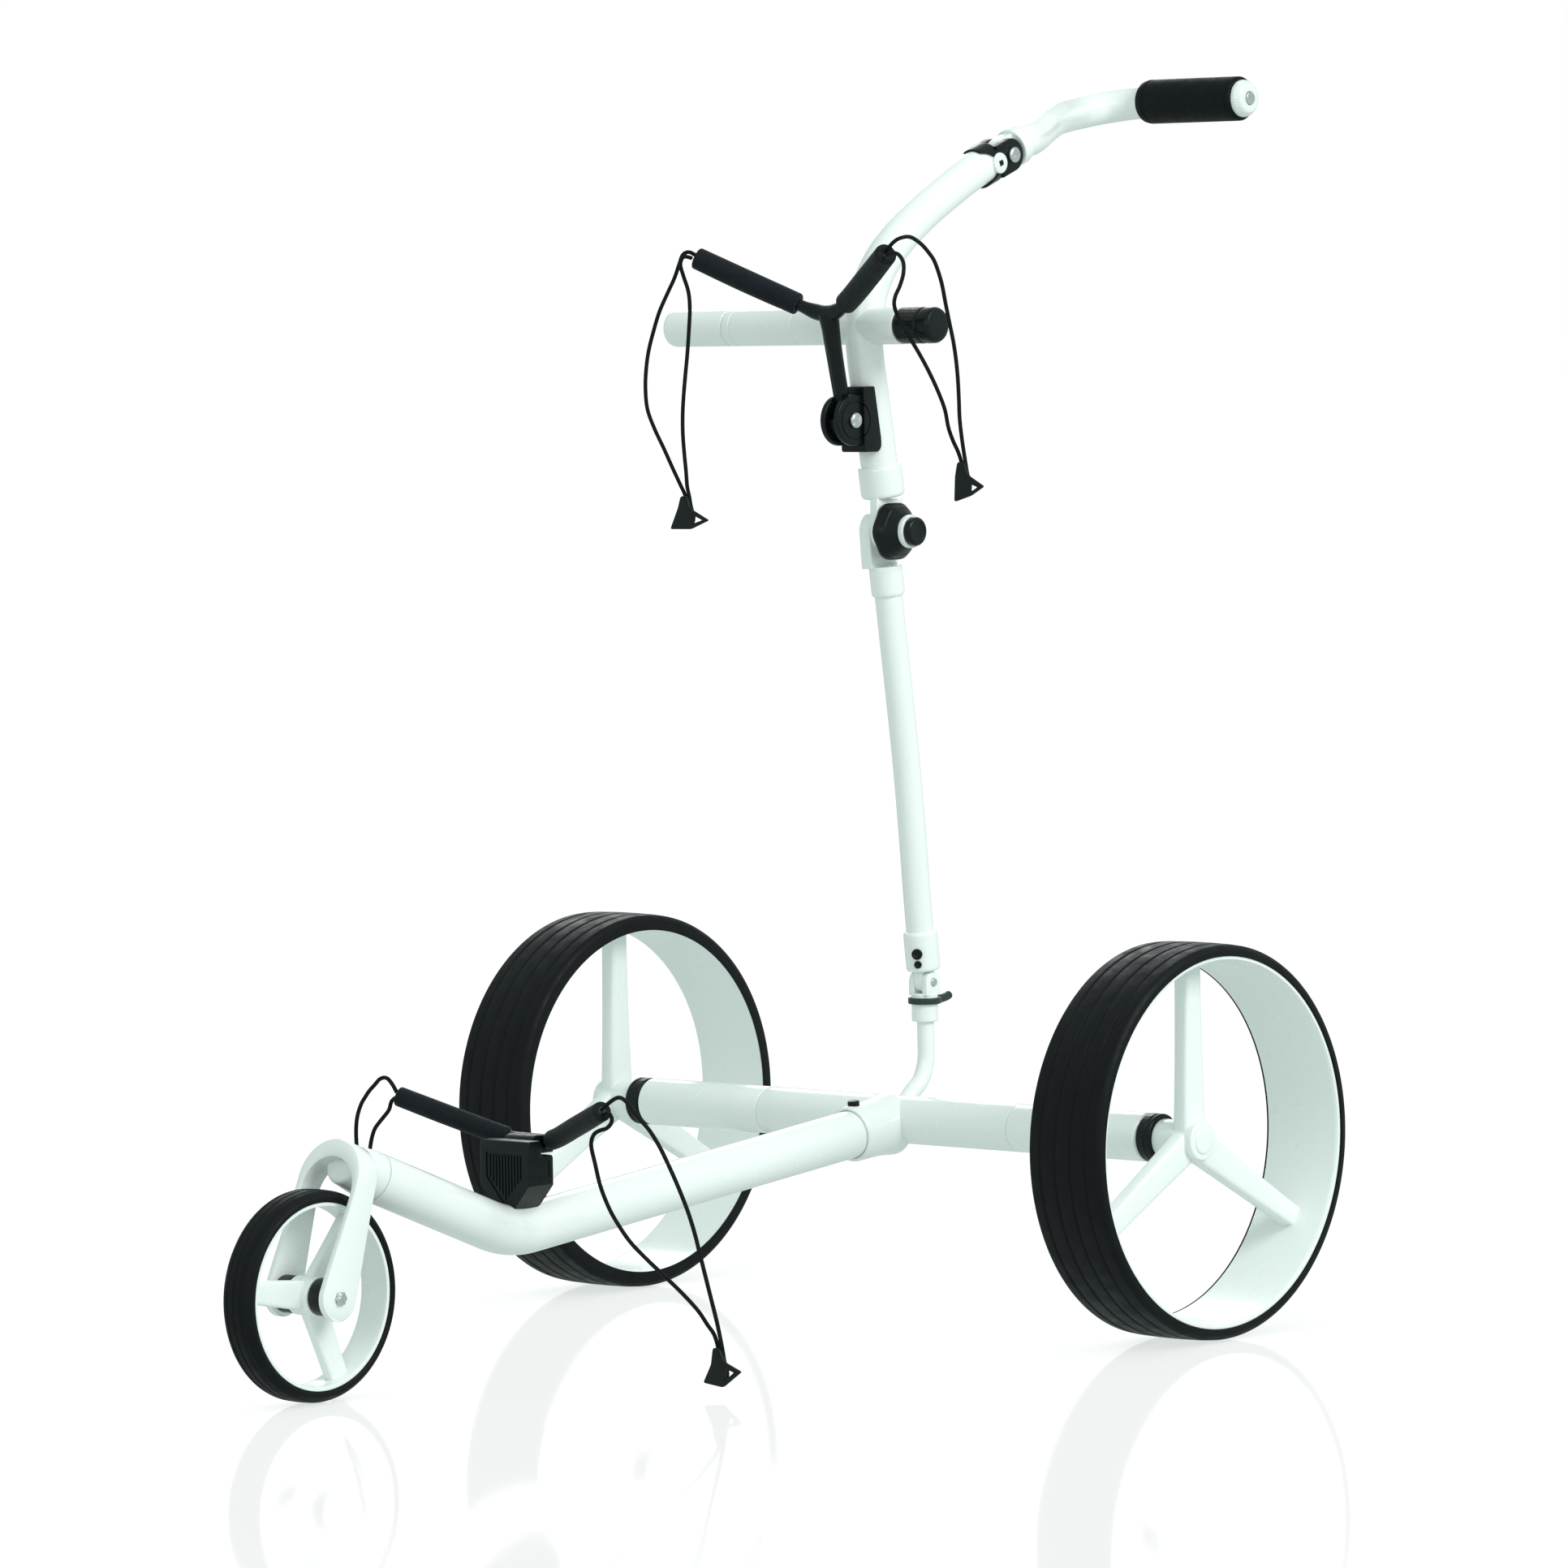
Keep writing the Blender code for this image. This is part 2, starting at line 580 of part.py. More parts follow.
def build_upper_shaft(lower):
    fold = joint_empty("upper_fold_axis", FOLD, lower)
    path = upper_shaft_path()
    add("upper_shaft_tube", swept(path, UPPER_TUBE_R, 12.5, 16), white_paint, fold)
    up = (path[1] - path[0]).normalized()
    profile = [(-2, 0), (-2, 15), (0, 16.5), (20, 16.5), (22, 15.5), (22, 14.3), (-GAP, 14.3), (-GAP, 0)]
    disc = add("fold_disc_upper", turned(profile, path[0], up, 20), white_paint, fold)
    join(disc, tongue(FOLD, path[0] - FOLD, 15, 24.5, 0, 7.5, 14))
    cut(disc, rod(FOLD - X * 20, FOLD + X * 20, 4.3, 18))
    around_tube = lambda: swept(path, UPPER_TUBE_R + 2 * GAP, 0, 16)
    bar = rod(CROSSBAR + X * CROSSBAR_LEFT, CROSSBAR, UPPER_TUBE_R, 20, None, 2.5)
    stub = sleeve(CROSSBAR, CROSSBAR + X * CROSSBAR_RIGHT, UPPER_TUBE_R, 12, 20)
    cut(add("crossbar_right", bar, white_paint, fold), around_tube())
    cut(add("crossbar_left", stub, white_paint, fold), around_tube())
    build_bracket_clamp(fold, around_tube)
    build_handle_socket(fold)
    cap_axis = joint_empty("crossbar_knob_axis", CROSSBAR + X * 56, fold)
    profile = [(22, 0), (22, 11.6), (CROSSBAR_RIGHT + GAP, 11.6), (CROSSBAR_RIGHT + GAP, 12.8), (41, 13.6),
               (60, 13.6), (60.8, 12.7), (63.2, 12.7), (64, 13.6), (71, 13.4), (73.4, 12), (74, 9), (74, 0)]
    add("crossbar_knob", turned(profile, CROSSBAR, X, 20), black_plastic, cap_axis)
    return fold


def build_bracket_clamp(fold, around_tube):
    outline = [(-34, 648), (-34, 697), (-18, 697), (-15, 693), (-15, 652), (-18, 648)]
    clamp = add("bracket_clamp", slab(outline, -12, 12), black_plastic, fold)
    for side in (-1, 1):
        join(clamp, tongue(TILT, Y, 19, 12, side * 4.3, side * 9, 14))
    cut(clamp, around_tube())
    cut(clamp, rod(TILT - X * 4.3, TILT + X * 4.3, 15, 20))
    cut(clamp, rod(TILT - X * 20, TILT + X * 20, 3.3, 16))
    add("tilt_screw", pivot_screw(TILT, 9), steel, fold)


def build_handle_socket(fold):
    line = handle_line()
    profile = [(-13, 0), (-13, 14.5), (-15, 16), (-29, 16), (-30, 15.5), (-30, 14.9), (-15, 14.9), (-15, 0)]
    socket = add("handle_socket", turned(profile, PIVOT, line, 20), black_plastic, fold)
    for side in (-1, 1):
        join(socket, tongue(PIVOT, -line, 12.6, 14.5, side * 5.3, side * 13.5, 12))
    cut(socket, rod(PIVOT - X * 20, PIVOT + X * 20, 3.3, 16))
    add("handle_pin", pivot_screw(PIVOT, 13.5), steel, fold)


# Knobs, bracket and handle ------------------------------------------------------

def build_fold_knob(lower):
    spin = joint_empty("fold_knob_axis", FOLD + X * 14, lower)
    lobes = lambda angle: 1 - 0.055 * (1 - math.cos(6 * angle)) / 2
    dial = turned([(7.8, 0), (7.8, 20), (9, 22.5), (12.5, 22.8), (14.5, 21), (25, 12.4), (25, 0)],
                  FOLD, X, 20, None, lobes)
    knob = add("fold_knob", dial, black_plastic, spin)
    stem = [(-14, 0), (-14, 4), (15, 4), (15, 8), (30, 8), (30, 10.8), (34, 10.8), (35.5, 9), (35.5, 0)]
    join(knob, turned(stem, FOLD, X, 20))
    collar = sleeve(FOLD + X * (25 + GAP), FOLD + X * (30 - GAP), 12.5, 8.3, 20)
    add("knob_collar", collar, steel, spin)


def upper_arm_path():
    return mirrored_arm_path(UPPER_TIP, [(62, -84.5, 778), (30, -69, 762), (12, -62.5, 754), (0, -61, 752)],
                             13)


def build_upper_bracket(upper):
    tilt = joint_empty("bracket_tilt_axis", TILT, upper)
    path = upper_arm_path()
    yoke = add("upper_yoke", swept(path, ARM_R, 0, 12), black_plastic, tilt)
    middle = path[len(path) // 2]
    stem = middle - TILT
    plate = tongue(TILT, stem, 14.2, 1, -4, 4, 12)
    join(yoke, plate)
    along, across = stem.normalized(), X.cross(stem.normalized())
    bar = [TILT + along * a + across * b for a, b in
           ((0, -5), (stem.length + 3, -5), (stem.length + 3, 5), (0, 5))]
    join(yoke, slab([(p.y, p.z) for p in bar], -3.2, 3.2))
    cut(yoke, rod(TILT - X * 8, TILT + X * 8, 3.3, 16))
    arm_pads("upper_pad", path, UPPER_PAD_R, tilt)
    return tilt


def handle_path():
    line = handle_line()
    return smooth_path([PIVOT + line * 16, PIVOT + line * 30, (-8, 188, 883.5), (-24, 220, 893.5),
                        (-48, 262, 900), (-72, 303, 899), (-86, 336, 901), (-82, 361, 907.5),
                        (-64, 373, 911.8),
                        (-46, GRIP.y, GRIP.z), (-20, GRIP.y, GRIP.z), (20, GRIP.y, GRIP.z),
                        (44, GRIP.y, GRIP.z)], 18)


def build_handle(upper):
    swing = joint_empty("handle_axis", PIVOT, upper)
    line = handle_line()
    add("handle_tube", swept(handle_path(), HANDLE_TUBE_R, 11.5, 14), white_paint, swing)
    profile = [(14, 0), (14, 14), (15, 15), (23, 15), (24, 14.4), (24, 13.7), (15, 13.7), (15, 0)]
    knuckle = add("handle_knuckle", turned(profile, PIVOT, line, 20), white_paint, swing)
    join(knuckle, tongue(PIVOT, line, 12.3, 14.5, -5, 5, 12))
    cut(knuckle, rod(PIVOT - X * 8, PIVOT + X * 8, 3.3, 16))
    bore = HANDLE_TUBE_R + GAP
    profile = [(-GRIP_HALF, bore), (-GRIP_HALF, 14.5), (-GRIP_HALF + 2, 16.4), (-GRIP_HALF + 6, GRIP_R),
               (GRIP_HALF - 2, GRIP_R), (GRIP_HALF, GRIP_R - 1.5), (GRIP_HALF, 9.6), (GRIP_HALF - 3, 9.6),
               (GRIP_HALF - 3, bore)]
    add("grip", turned(profile, GRIP, X, 20), black_rubber, swing)
    face = GRIP_HALF + GAP
    dial_axis = joint_empty("speed_dial_axis", GRIP + X * face, swing)
    profile = [(30, 5.3), (30, 9), (face, 9), (face, 11.6), (face + 7, 11.6), (face + 8, 10.6),
               (face + 8, 5.3)]
    add("speed_dial", turned(profile, GRIP, X, 20), white_paint, dial_axis)
    press_axis = joint_empty("start_button_axis", GRIP + X * (face + 6), swing)
    button = rod(GRIP + X * 34, GRIP + X * (face + 9.2), 5, 16, None, 0.6)
    add("start_button", button, steel, press_axis)


# Elastic straps --------------------------------------------------------------------

# A strap is one looped cord: out of the arm's end, down to its hook, round the hook's peg
# and back up into the same end. Points are (distance outward from the middle, y, z).
PEG_R = 2.8
PEG_LOOP = [(2, 16), (3.4, 9), (6, 1), (4.4, -4.2), (0, -6), (-4.4, -4.2), (-6, 1), (-3.4, 9), (-2, 16)]
LOWER_Y = -427


def lower_leg(points):
    return [(x, LOWER_Y, z) for x, z in points]


LOWER_EXIT = [(103.1, -426.6, 195.3)]
LOWER_RETURN = [(104.2, LOWER_Y, 191.6)]
LOWER_LEFT_DOWN = LOWER_EXIT + lower_leg([
    (109.5, 200), (118, 203.5), (125.5, 200.5), (130.5, 195), (139, 188), (147, 181.5), (156, 171),
    (164, 159),
    (173, 144), (181.5, 128), (188, 112.5), (193, 97), (198, 81.5), (203, 66), (207.5, 52), (210.5, 41)])
LOWER_LEFT_UP = lower_leg([
    (205.5, 41), (199, 48), (190, 57.5), (175.5, 68.5), (159.5, 79), (142.5, 90), (127, 101), (115.5, 112.5),
    (106.5, 124), (98.5, 139), (93.5, 155), (90, 168), (92.5, 175.5), (98.5, 179), (105.5, 181),
    (110.3, 185.5), (109.6, 190.5)]) + LOWER_RETURN
LOWER_LEFT_PEG = Vector((211, LOWER_Y, 14.5))
LOWER_LEFT_HOOK = [(206, 23), (216, 24.5), (233.3, 17.8), (215.8, 5.6), (197.3, 7.6)]

LOWER_RIGHT_DOWN = LOWER_EXIT + lower_leg([
    (107.5, 201.5), (113, 205.5), (119.5, 204.5), (125, 200), (131, 195), (135.5, 190), (139.5, 185),
    (143.8, 175.5), (145.3, 165), (145, 154), (144, 140), (143.5, 126), (145, 110), (149, 94), (155, 77),
    (160.5, 66)])
LOWER_RIGHT_UP = lower_leg([
    (155.5, 66), (149.5, 76), (142.5, 90), (138, 105), (135, 120), (133.7, 135), (132.3, 147), (130, 158.5),
    (126.5, 167), (121.5, 172.5), (116, 177.5), (111, 182.5), (108.5, 188.5)]) + LOWER_RETURN
LOWER_RIGHT_PEG = Vector((161, LOWER_Y, 43.5))
LOWER_RIGHT_HOOK = [(155.5, 54.5), (166.5, 54), (174.5, 33.5), (161.5, 32), (151.3, 37.4)]

UPPER_LEFT_DOWN = [
    (95.6, -100.1, 797.9), (101.5, -101.8, 802.3), (105.8, -98.5, 806), (107, -88, 807), (106, -75, 802),
    (106.2, -66, 795), (105.7, -59, 788), (103.8, -50, 773.5), (102.5, -44.5, 759), (103.4, -41.5, 744.5),
    (105.3, -39.5, 730), (106.9, -38.5, 716), (107.5, -37.5, 701.5), (107.3, -36.5, 687),
    (107.5, -36.2, 672.5), (109.5, -36, 656)]
UPPER_LEFT_UP = [
    (105.2, -36, 648.5), (100.5, -36, 656.5), (96.3, -36.2, 666.5), (93, -36.2, 680), (86, -36.2, 694.5),
    (77.3, -36.2, 709), (67.5, -36.2, 723), (57.8, -36.3, 735.5), (50.5, -37.5, 747), (52, -44, 757),
    (62, -54, 764), (76, -65, 771), (92, -79, 780), (104, -92.5, 788.5), (107.2, -101.6, 794.4),
    (103.2, -105.2, 795.6), (97.4, -102.9, 793.7)]
UPPER_LEFT_PEG = Vector((110.5, -36, 623.5))
UPPER_LEFT_HOOK = [(105, 631.5), (117, 631.5), (132.8, 623), (122.4, 616), (110.4, 613), (104, 614)]

UPPER_RIGHT_DOWN = [
    (96.3, -98.7, 796.7), (101.5, -101, 799.5), (106.5, -102.5, 797.5), (110, -102.8, 790.5),
    (115.5, -102.5, 780), (123, -101.5, 770), (133, -100.6, 755.5), (140, -100, 741), (145.5, -100, 726),
    (148.5, -100, 711.5), (149.5, -100, 697), (147.8, -100, 682), (141, -100, 667.5), (132, -100, 653),
    (123.5, -100, 638.5), (116.5, -100, 627)]
UPPER_RIGHT_UP = [
    (108.5, -100, 624), (109.5, -100, 636), (111, -100, 650), (112, -100, 664), (111.8, -100, 678),
    (110.5, -100, 692), (108.5, -100, 706.5), (106, -100, 723), (104, -100, 740), (101.8, -100.8, 757),
    (101.5, -102.5, 770), (104.5, -104.5, 782), (106.2, -105.6, 790.5), (102.6, -105.6, 796),
    (96.7, -102.7, 794.8)]
UPPER_RIGHT_PEG = Vector((108.5, -100, 600.5))
UPPER_RIGHT_HOOK = [(113.3, 607.3), (105.4, 607.3), (84.1, 598.9), (102.5, 592.1), (123.2, 592)]


def around_peg(peg):
    return [(peg.x + out, peg.y, peg.z + up) for out, up in PEG_LOOP]


def strap(name, down, peg, up, side, parent):
    data = bpy.data.curves.new(name, "CURVE")
    data.dimensions = "3D"
    data.bevel_depth = STRAP_R * MM
    data.bevel_resolution = 2
    data.render_resolution_u = 0
    data.use_fill_caps = True
    route = down + around_peg(peg) + up
    points = smooth_path([Vector((side * x, y, z)) for x, y, z in route], 6 * STRAP_R)
    spline = data.splines.new("POLY")
    spline.points.add(len(points) - 1)
    for knot, point in zip(spline.points, points):
        knot.co = (*((point - Vector(parent["point"])) * MM), 1.0)
    data.materials.append(black_rubber(name))
    cord = bpy.data.objects.new(name, data)
    bpy.context.scene.collection.objects.link(cord)
    cord.parent = parent


def hook(name, corners, peg, side, parent):
    """A flat triangular hook in front of the cord, with the peg that the cord loops round."""
    front, back = peg.y - STRAP_R - GAP - 2.5, peg.y - STRAP_R - GAP
    mesh = bmesh.new()
    near = [mesh.verts.new((side * x, front, z)) for x, z in corners]
    far = [mesh.verts.new((side * x, back, z)) for x, z in corners]
    mesh.faces.new(near)
    mesh.faces.new(far)
    bridge(mesh, near, far)
    made = add(name, mesh, black_plastic, parent)
    middle = Vector((side * peg.x, peg.y, peg.z))
    join(made, rod(middle - Y * (STRAP_R + GAP + 1), middle + Y * STRAP_R, PEG_R, 12))


def build_straps(base, tilt):
    for place, hand, side, parent, down, peg, up, outline in (
            ("lower", "left", 1, base, LOWER_LEFT_DOWN, LOWER_LEFT_PEG, LOWER_LEFT_UP, LOWER_LEFT_HOOK),
            ("lower", "right", -1, base, LOWER_RIGHT_DOWN, LOWER_RIGHT_PEG, LOWER_RIGHT_UP,
             LOWER_RIGHT_HOOK),
            ("upper", "left", 1, tilt, UPPER_LEFT_DOWN, UPPER_LEFT_PEG, UPPER_LEFT_UP, UPPER_LEFT_HOOK),
            ("upper", "right", -1, tilt, UPPER_RIGHT_DOWN, UPPER_RIGHT_PEG, UPPER_RIGHT_UP,
             UPPER_RIGHT_HOOK)):
        strap(f"{place}_strap_{hand}", down, peg, up, side, parent)
        hook(f"{place}_hook_{hand}", outline, peg, side, parent)


def main():
    clear_scene()
    base = joint_empty("trolley", Vector((0, 0, 0)))
    build_axle(base)
    for side, hand in ((1, "left"), (-1, "right")):
        rear_wheel(hand, side, base)
    build_frame(base)
    front_wheel(base)
    lower = build_lower_shaft(base)
    upper = build_upper_shaft(lower)
    build_fold_knob(lower)
    tilt = build_upper_bracket(upper)
    build_handle(upper)
    build_straps(base, tilt)


main()
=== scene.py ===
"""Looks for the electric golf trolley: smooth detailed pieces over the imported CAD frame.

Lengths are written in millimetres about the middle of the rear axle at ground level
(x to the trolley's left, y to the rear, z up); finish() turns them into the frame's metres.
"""
import math

import bmesh
import bpy
from mathutils import Matrix, Vector


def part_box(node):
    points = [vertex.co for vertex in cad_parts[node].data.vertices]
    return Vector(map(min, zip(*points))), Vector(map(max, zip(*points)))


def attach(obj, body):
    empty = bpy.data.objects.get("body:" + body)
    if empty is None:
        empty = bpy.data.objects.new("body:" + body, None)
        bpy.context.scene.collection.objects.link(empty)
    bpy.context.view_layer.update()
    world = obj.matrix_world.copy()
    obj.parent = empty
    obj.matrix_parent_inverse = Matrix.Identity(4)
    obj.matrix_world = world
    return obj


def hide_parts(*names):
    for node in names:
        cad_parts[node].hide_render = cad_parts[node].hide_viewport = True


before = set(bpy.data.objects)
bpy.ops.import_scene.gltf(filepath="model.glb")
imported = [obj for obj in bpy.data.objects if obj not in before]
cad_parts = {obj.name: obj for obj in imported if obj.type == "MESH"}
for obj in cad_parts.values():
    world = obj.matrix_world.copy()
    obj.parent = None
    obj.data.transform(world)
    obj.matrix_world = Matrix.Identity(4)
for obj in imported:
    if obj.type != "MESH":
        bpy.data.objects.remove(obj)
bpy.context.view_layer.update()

MM = 0.001
GAP = 0.3
X, Y, Z = Vector((1, 0, 0)), Vector((0, 1, 0)), Vector((0, 0, 1))


def middle_of(node):
    low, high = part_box(node)
    return (low + high) / 2


AXLE = middle_of("axle_centre")
SHIFT = Vector((0, AXLE.y, 0))

# Sizes that the CAD part has
AXLE_Z = AXLE.z / MM
PIN_HOLE_R = 3.2
SIDES = ((1, "left"), (-1, "right"))
CUT, JOIN = "DIFFERENCE", "UNION"
CUT_EDGE = 38  # degrees: on a piece made by Booleans, sharper edges than this stay crisp
REAR_X, REAR_R, REAR_HALF = 287.0, 145.0, 34.25
FRONT_AXLE = Vector((0, -620, 74.6))
FRONT_R = 74.6
MAIN_START, MAIN_BEND, MAIN_END = Vector((0, 0, 143)), Vector((0, -420, 98.7)), Vector((0, -556, 152.3))
HINGE, FOLD = Vector((0, 37, 246)), Vector((0, -2, 588))
CROSSBAR, TILT = Vector((0, -19.5, 742)), Vector((0, -42, 672))
PIVOT, GRIP = Vector((0, 139.5, 869.5)), Vector((0, 374, 912.6))
PIVOT_RISE = math.radians(21)
STRAP_R = 1.5


def linked(name, data):
    """A new object in the scene, around its data."""
    thing = bpy.data.objects.new(name, data)
    bpy.context.scene.collection.objects.link(thing)
    return thing


def stored(name, mesh):
    """A new object that holds a finished mesh."""
    data = bpy.data.meshes.new(name)
    mesh.to_mesh(data)
    mesh.free()
    return linked(name, data)


def length_of(points):
    return sum((b - a).length for a, b in zip(points, points[1:]))


# Camera and light ----

def camera():
    azimuth, elevation, roll = math.radians(42.13), math.radians(3.42), math.radians(-0.995)
    stand = (4.0611, -4.45565, 0.7662)
    back = Vector((math.sin(azimuth) * math.cos(elevation), -math.cos(azimuth) * math.cos(elevation),
                   math.sin(elevation)))
    right = Vector((math.cos(azimuth), math.sin(azimuth), 0))
    up = back.cross(right)
    data = bpy.data.cameras.new("camera")
    data.lens, data.sensor_width = 187.86, 36.0
    data.clip_start, data.clip_end = 0.1, 200
    thing = linked("camera", data)
    turn = Matrix((right * math.cos(roll) + up * math.sin(roll),
                   up * math.cos(roll) - right * math.sin(roll), back)).transposed()
    thing.matrix_world = Matrix.Translation(stand) @ turn.to_4x4()
    bpy.context.scene.camera = thing


def softbox(name, position, target, width, height, power, colour=(1, 1, 1)):
    data = bpy.data.lights.new(name, "AREA")
    data.shape, data.size, data.size_y = "RECTANGLE", width, height
    data.energy, data.color = power, colour
    thing = linked(name, data)
    thing.location = position
    thing.rotation_mode = "QUATERNION"
    thing.rotation_quaternion = (Vector(target) - Vector(position)).to_track_quat("-Z", "Y")
    return thing


def studio():
    scene = bpy.context.scene
    scene.view_settings.view_transform = "Standard"
    world = bpy.data.worlds.new("studio")
    scene.world = world
    world.use_nodes = True
    tree = world.node_tree
    sky = tree.nodes["Background"]
    sky.inputs["Color"].default_value = (0.865, 1.0, 0.955, 1)
    sky.inputs["Strength"].default_value = 0.68
    seen = socket(tree, "ShaderNodeBackground", {"Color": (1, 1, 1, 1), "Strength": 1.0})
    path = socket(tree, "ShaderNodeLightPath")
    mixed = socket(tree, "ShaderNodeMixShader", {0: path.outputs["Is Camera Ray"], 1: sky.outputs[0],
                                                 2: seen.outputs[0]})
    tree.links.new(mixed.outputs[0], tree.nodes["World Output"].inputs["Surface"])
    lamps = [softbox("key", (4.2, 0.2, 3.2), (0, 0, 0.35), 2.2, 2.2, 150),
             softbox("fill", (1.5, -4.5, 2.2), (0, 0, 0.4), 2.0, 1.6, 22),
             softbox("edge", (-3.0, 3.0, 2.4), (0, 0, 0.4), 1.6, 1.6, 30)]
    mesh = bmesh.new()
    bmesh.ops.create_circle(mesh, cap_ends=True, segments=64, radius=60)
    floor = stored("floor", mesh)
    floor.location.z = -0.0004
    floor.data.materials.append(floor_finish())
    floor.visible_diffuse = floor.visible_glossy = False
    unlit = bpy.data.collections.new("not_lit_by_lamps")
    unlit.objects.link(floor)
    unlit.collection_objects[0].light_linking.link_state = "EXCLUDE"
    for lamp in lamps:
        lamp.light_linking.receiver_collection = unlit


# Materials ----

def new_material(name):
    made = bpy.data.materials.new(name)
    made.use_nodes = True
    tree = made.node_tree
    return made, tree, tree.nodes["Principled BSDF"]


def socket(tree, kind, inputs=None, **settings):
    node = tree.nodes.new(kind)
    for key, value in settings.items():
        setattr(node, key, value)
    return plugged(tree, node, inputs or {})


def plugged(tree, node, inputs):
    """The node, with each input linked to a socket or set to a value."""
    for key, value in inputs.items():
        if isinstance(value, bpy.types.NodeSocket):
            tree.links.new(value, node.inputs[key])
        else:
            node.inputs[key].default_value = value
    return node


def noise(tree, scale, detail=2.0, stretch=None, coordinates="Object"):
    where = socket(tree, "ShaderNodeTexCoord").outputs[coordinates]
    if stretch:
        where = socket(tree, "ShaderNodeMapping", {"Vector": where, "Scale": stretch}).outputs["Vector"]
    return socket(tree, "ShaderNodeTexNoise",
                  {"Vector": where, "Scale": scale, "Detail": detail}).outputs["Fac"]


def spread(tree, value, low, high):
    """A value from 0.3 to 0.7, as noise mostly is, spread from low to high."""
    return socket(tree, "ShaderNodeMapRange", {"Value": value, "From Min": 0.3, "From Max": 0.7,
                                               "To Min": low, "To Max": high}).outputs["Result"]


def tint(tree, value, low, high):
    mix = socket(tree, "ShaderNodeMix", data_type="RGBA")
    tree.links.new(value, mix.inputs["Factor"])
    mix.inputs[6].default_value = (*low, 1)
    mix.inputs[7].default_value = (*high, 1)
    return mix.outputs[2]


def bump(tree, height, distance, strength=1.0, under=None):
    inputs = {"Height": height, "Distance": distance, "Strength": strength}
    if under:
        inputs["Normal"] = under
    return socket(tree, "ShaderNodeBump", inputs).outputs["Normal"]


def floor_finish():
    """A white sweep: mostly its own light, with soft contact shadows and a faint even reflection."""
    made, tree, shader = new_material("pale_floor")
    tree.nodes.remove(shader)
    rough = spread(tree, noise(tree, 3.0, 3.0), 0.05, 0.07)
    dull = socket(tree, "ShaderNodeBsdfDiffuse", {"Color": (0.36, 0.30, 0.32, 1)})
    gloss = socket(tree, "ShaderNodeBsdfGlossy", {"Color": (0.29, 0.25, 0.26, 1), "Roughness": rough})
    glow = socket(tree, "ShaderNodeEmission", {"Color": (0.95, 1.0, 0.98, 1), "Strength": 0.70})
    both = socket(tree, "ShaderNodeAddShader", {0: dull.outputs[0], 1: gloss.outputs[0]})
    total = socket(tree, "ShaderNodeAddShader", {0: both.outputs[0], 1: glow.outputs[0]})
    tree.links.new(total.outputs[0], tree.nodes["Material Output"].inputs["Surface"])
    return made


def painted(name, colour, dark, rough=(0.20, 0.28), coat=0.5, peel=0.00002):
    """Glossy enamel: a faint orange peel under a clear coat, slightly uneven gloss and tone."""
    made, tree, shader = new_material(name)
    plugged(tree, shader, {
        "Base Color": tint(tree, noise(tree, 14, 4), dark, colour),
        "Roughness": spread(tree, noise(tree, 60, 3), *rough),
        "Normal": bump(tree, noise(tree, 900, 1), peel),
        "Coat Weight": coat, "Coat Roughness": 0.08})
    return made


def moulded(name, low, high, rough, grain_scale, grain, specular=0.22):
    """Moulded plastic or rubber: fine grain over a faint larger unevenness."""
    made, tree, shader = new_material(name)
    plugged(tree, shader, {
        "Base Color": tint(tree, noise(tree, 40, 5), low, high),
        "Roughness": spread(tree, noise(tree, 220, 3), *rough),
        "Normal": grained(tree, 70, 2, grain * 1.5, noise(tree, grain_scale, 3), grain),
        "Specular IOR Level": specular})
    return made


def grained(tree, wide_scale, detail, wide_depth, fine, fine_depth):
    """A normal with fine relief over a wide unevenness."""
    wide = bump(tree, noise(tree, wide_scale, detail), wide_depth)
    return bump(tree, fine, fine_depth, 1.0, wide)


def tyre_rubber():
    """Black rubber with dull scuffs on the running surface and a satin side wall."""
    made, tree, shader = new_material("tyre_rubber")
    plugged(tree, shader, {
        "Base Color": tint(tree, noise(tree, 25, 6), (0.0022, 0.0032, 0.0046), (0.0055, 0.0072, 0.0095)),
        "Roughness": spread(tree, noise(tree, 90, 4), 0.42, 0.62),
        "Normal": grained(tree, 160, 4, 0.00012, noise(tree, 1500, 2), 0.00005),
        "Specular IOR Level": 0.14})
    return made


def foam():
    """Closed cell foam: small pits over a soft matt surface."""
    made, tree, shader = new_material("foam")
    where = socket(tree, "ShaderNodeTexCoord").outputs["Object"]
    cells = socket(tree, "ShaderNodeTexVoronoi", {"Vector": where, "Scale": 900.0}).outputs["Distance"]
    plugged(tree, shader, {
        "Base Color": tint(tree, noise(tree, 60, 4), (0.003, 0.0045, 0.0075), (0.008, 0.011, 0.016)),
        "Roughness": spread(tree, noise(tree, 300, 2), 0.6, 0.8),
        "Normal": grained(tree, 90, 3, 0.0003, cells, 0.00018),
        "Specular IOR Level": 0.15, "Sheen Weight": 0.06, "Sheen Roughness": 0.5})
    return made


def braid():
    """Elastic cord: a braided sheath, from two crossing sets of strands in the cord's own UV."""
    made, tree, shader = new_material("braid")
    uv = socket(tree, "ShaderNodeTexCoord").outputs["UV"]
    sets = []
    for lean in (1, -1):
        turn = (0, 0, lean * math.radians(52))
        crossed = socket(tree, "ShaderNodeMapping", {"Vector": uv, "Rotation": turn}).outputs["Vector"]
        sets.append(socket(tree, "ShaderNodeTexWave", {"Vector": crossed, "Scale": 2.6}).outputs["Fac"])
    strands = socket(tree, "ShaderNodeMath", {0: sets[0], 1: sets[1]}, operation="MULTIPLY").outputs[0]
    plugged(tree, shader, {
        "Base Color": tint(tree, strands, (0.002, 0.003, 0.004), (0.010, 0.013, 0.016)),
        "Normal": bump(tree, strands, 0.00025),
        "Roughness": spread(tree, noise(tree, 500, 2), 0.55, 0.75),
        "Specular IOR Level": 0.2})
    return made


